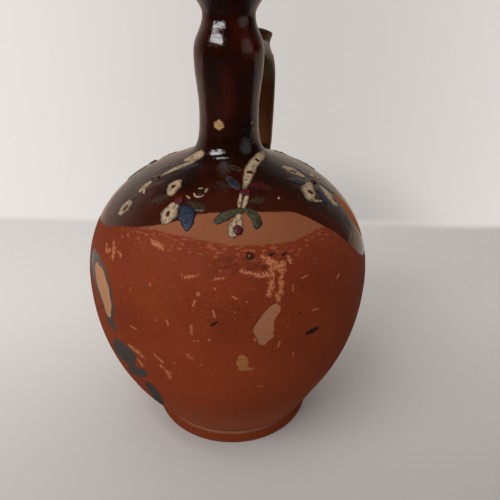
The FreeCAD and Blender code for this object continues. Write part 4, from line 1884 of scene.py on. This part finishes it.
@dataclass
class Studio:
    """The floor, the light and the camera."""

    lens: float = 36.0
    camera_place: Triple = (76.26, -202.13, 194.3)
    heading: float = 18.0
    tilt: float = 63.37
    roll: float = 1.15
    floor_size: float = 40.0
    floor_roughness: float = 0.8
    floor_shine: float = 0.2
    wall_band: Place = (223.0, 251.0)
    horizon: Place = (600.0, 1800.0)
    table_across: Place = (-260.0, 260.0)
    near_depth: Place = (-130.0, 110.0)
    near_across: Reach = Reach(-40.0, 220.0, 0.12)
    near_share: float = 0.33
    left_depth: Reach = Reach(0.0, 220.0, 0.05)
    left_across: Place = (-150.0, 100.0)
    shadow_depth: Reach = Reach(230.0, 520.0, 0.22)
    shadow_middle: float = 115.0
    shadow_across: Place = (10.0, 110.0)
    unmirrored_depth: Reach = Reach(-40.0, 200.0, 0.92)
    waver_size: float = 90.0
    waver: float = 12.0
    dark_offset: float = 0.12
    dark_reach: float = 0.75
    screen: Place = (64.0, 14.0)
    screen_edge: Place = (0.9, 0.97)
    aim_height: float = 120.0
    lamp_distance: float = 1.1
    lamps: tuple[Lamp, ...] = (
        Lamp("key_lamp", -47.0, 36.0, (0.8, 0.26), 7.8),
        Lamp("upper_lamp", -42.0, 66.0, (0.5, 0.12), 1.7),
    )
    black: Colour = tone(0, 0, 0)
    wall_dark: Colour = tone(204, 199, 195)
    wall_pale: Colour = tone(235, 230, 225)
    table_left: Colour = tone(208, 204, 201)
    table_right: Colour = tone(188, 184, 180)
    backdrop: Colour = tone(230, 225, 220)
    mirrored_table: Colour = tone(20, 18, 16)
    mirrored_backdrop: Colour = tone(206, 182, 166)
    room_low: Colour = tone(142, 140, 138)
    room_high: Colour = tone(240, 238, 235)
    mirrored_room: Colour = tone(28, 25, 24)
    mirrored_wall: Colour = tone(190, 178, 167)
    mirrored_screen: Colour = tone(192, 188, 192)
    pale_side: Triple = (-0.55, 0.83, 0.0)
    pale_reach: Place = (0.0, 0.95)
    pale_heights: Place = (0.3, 0.85)
    room_heights: Place = (-0.1, 0.9)

    @property
    def axes(self) -> tuple[Triple, Triple]:
        """Work out the level directions of the camera.

        Returns:
            The directions to its right and ahead of it.
        """
        heading = math.radians(self.heading)
        across, along = math.cos(heading), math.sin(heading)
        return (across, along, 0.0), (-along, across, 0.0)

    def set_camera(self) -> None:
        """Put the camera where the photograph was taken from."""
        clear_selection()
        bpy.ops.object.camera_add()
        camera = bpy.context.object
        camera.name = "camera"
        camera.data.sensor_width = camera.data.lens = self.lens
        camera.data.clip_start = MM
        turn = (
            Matrix.Rotation(math.radians(self.heading), 4, "Z")
            @ Matrix.Rotation(math.radians(self.tilt), 4, "X")
            @ Matrix.Rotation(math.radians(self.roll), 4, "Z")
        )
        camera.matrix_world = Matrix.Translation(Vector(self.camera_place) * MM) @ turn
        bpy.context.scene.camera = camera

    def wall_tone(self, bench: NodeBench, rightward: Shade, ahead: Shade) -> Shade:
        """Work out how pale the wall looks, with painted shade that is darkest just right of the
        jug.

        Args:
            bench: The bench to add nodes to.
            rightward: How far to the right of the camera the spot lies.
            ahead: How far ahead of the camera it lies.

        Returns:
            The colour of the wall.
        """
        share = bench.math("DIVIDE", rightward, ahead)
        offset = bench.math("ABSOLUTE", share - self.dark_offset)
        return bench.mix(offset.fade(0.0, self.dark_reach), self.wall_dark, self.wall_pale)

    def table_tone(self, bench: NodeBench, rightward: Shade, behind: Shade) -> Shade:
        """Work out the table's colour, with painted light paler on the left and a painted shadow
        near the camera.

        Args:
            bench: The bench to add nodes to.
            rightward: How far to the right of the jug the spot lies.
            behind: How far behind the jug it lies.

        Returns:
            The colour of the table.
        """
        # Painted shadow near the camera, stronger to the right, and a slight darkening at the back
        # on the left.
        right_share = rightward.over(self.near_across) + self.near_share
        near = behind.out(*self.near_depth) * right_share
        left_back = behind.over(self.left_depth) * rightward.out(*self.left_across)
        return bench.lay_over(
            self.table_left,
            # Painted light: the table darkens towards the right, away from the light on the left.
            (rightward.fade(*self.table_across), self.table_right),
            (near, self.black),
            (left_back, self.black),
        )

    def distant_tone(self, bench: NodeBench, rightward: Shade, behind: Shade) -> Shade:
        """Work out what the camera sees where the floor stands for the wall.

        Args:
            bench: The bench to add nodes to.
            rightward: How far to the right of the jug the spot lies.
            behind: How far behind the jug it lies.

        Returns:
            The tone of the wall, with the soft shadow behind the jug.
        """
        right_of_jug, behind_jug = (
            sum(place * part for place, part in zip(self.camera_place, axis)) for axis in self.axes
        )
        wall = self.wall_tone(bench, rightward - right_of_jug, behind - behind_jug)
        beside = bench.math("ABSOLUTE", rightward - self.shadow_middle).out(*self.shadow_across)
        shadow = behind.under(self.shadow_depth) * beside
        return bench.mix(shadow, wall, self.black)

    def lay_floor(self) -> None:
        """Lay the pale floor, which turns into the pale wall tone behind the jug."""
        clear_selection()
        bpy.ops.mesh.primitive_plane_add(size=self.floor_size)
        floor = bpy.context.object
        floor.name = "floor"
        material, bench = new_bench("pale_floor")
        place = bench.own_places()
        rightward, behind = (bench.project(place, axis) for axis in self.axes)
        waver = bench.noise(place, self.waver_size) * self.waver
        wall = (behind + waver).fade(*self.wall_band)
        far = bench.vector("LENGTH", place, output="Value").fade(*self.horizon)
        mirrored = bench.node("LightPath", output="Is Glossy Ray")
        hidden = mirrored * behind.under(self.unmirrored_depth)
        table = bench.mix(hidden, self.table_tone(bench, rightward, behind), self.mirrored_table)
        backdrop = bench.mix(mirrored, self.backdrop, self.mirrored_backdrop)
        lit = bench.shader(
            {
                "Base Color": bench.mix(wall, table, backdrop),
                "Roughness": self.floor_roughness,
                "Specular IOR Level": self.floor_shine,
            }
        )
        distant = self.distant_tone(bench, rightward, behind)
        glow = bench.node("Emission", {}, {"Color": distant, "Strength": 1.0})
        seen = bench.node("LightPath", output="Is Camera Ray")
        bench.show(wall.most(far) * seen, lit, glow)
        dress(floor, material)

    def hang_lamp(self, lamp: Lamp) -> None:
        """Hang a lamp that looks at the shoulder of the jug.

        Args:
            lamp: The lamp to hang.
        """
        clear_selection()
        aim, ray = Vector((0, 0, self.aim_height * MM)), lamp_ray(lamp.turn, lamp.height)
        bpy.ops.object.light_add(type="AREA", location=aim + ray * self.lamp_distance)
        light = bpy.context.object
        light.name = lamp.name
        light.data.shape = "RECTANGLE"
        light.data.size, light.data.size_y = lamp.size
        light.data.energy = lamp.power
        light.rotation_euler = ray.to_track_quat("Z", "Y").to_euler()

    def set_world(self) -> None:
        """Fill the room with pale light, and let the gloss see a room that is dark in front."""
        world = bpy.data.worlds.new("room")
        bpy.context.scene.world = world
        world.use_nodes = True
        bench = NodeBench(world.node_tree)
        direction = bench.node("TexCoord", output="Generated")
        up = bench.node("SeparateXYZ", {}, {"Vector": direction}, "Z")
        room = bench.mix(up.fade(*self.room_heights), self.room_low, self.room_high)
        beside = bench.project(direction, self.pale_side).fade(*self.pale_reach)
        pale = beside * up.out(*self.pale_heights)
        screen = bench.project(direction, lamp_ray(*self.screen)).fade(*self.screen_edge)
        gloss = bench.lay_over(
            self.mirrored_room, (pale, self.mirrored_wall), (screen, self.mirrored_screen)
        )
        rightward, ahead = (bench.project(direction, axis) for axis in self.axes)
        room = bench.lay_over(
            room,
            (bench.node("LightPath", output="Is Glossy Ray"), gloss),
            (
                bench.node("LightPath", output="Is Camera Ray"),
                self.wall_tone(bench, rightward, ahead),
            ),
        )
        bench.feed(world.node_tree.nodes["Background"].inputs["Color"], room)

    def set_up(self) -> None:
        """Set up the room, the floor, the lamps and the camera."""
        self.set_world()
        self.lay_floor()
        for lamp in self.lamps:
            self.hang_lamp(lamp)
        self.set_camera()


def main() -> None:
    """Build the jug, dress it and set the stage."""
    logging.basicConfig(level=logging.INFO, format="%(name)s: %(message)s")
    bpy.context.scene.view_settings.view_transform = "Standard"
    _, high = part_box("jug")
    pot = ThrownPot(belly_radius=high[0] / MM, lip_height=high[2] / MM)
    skin = Skin(pot.skin())
    clay = Jug(pot).build()
    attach(clay, "root")
    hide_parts("jug")
    dress(clay, FiredFinish().make(skin))
    LOG.info("clay: %d faces", len(clay.data.polygons))

    front = (*LEFT_SPRAY, *LEFT_WORN, *CENTRE_SPRAY, *FLOWER)
    back = (*shifted(LEFT_SPRAY, SPRAY_TO_BACK), *shifted(FLOWER, FLOWER_TO_BACK))
    for pigment, piece in Painter(skin).paint((*front, *back)).items():
        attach(piece, "root")
        dress(piece, Enamel(pigment).make())
        LOG.info("%s: %d faces", piece.name, len(piece.data.polygons))

    studio = Studio()
    studio.set_up()
    LOG.info("studio: floor, %d lamps and camera", len(studio.lamps))


if __name__ == "__main__":
    main()
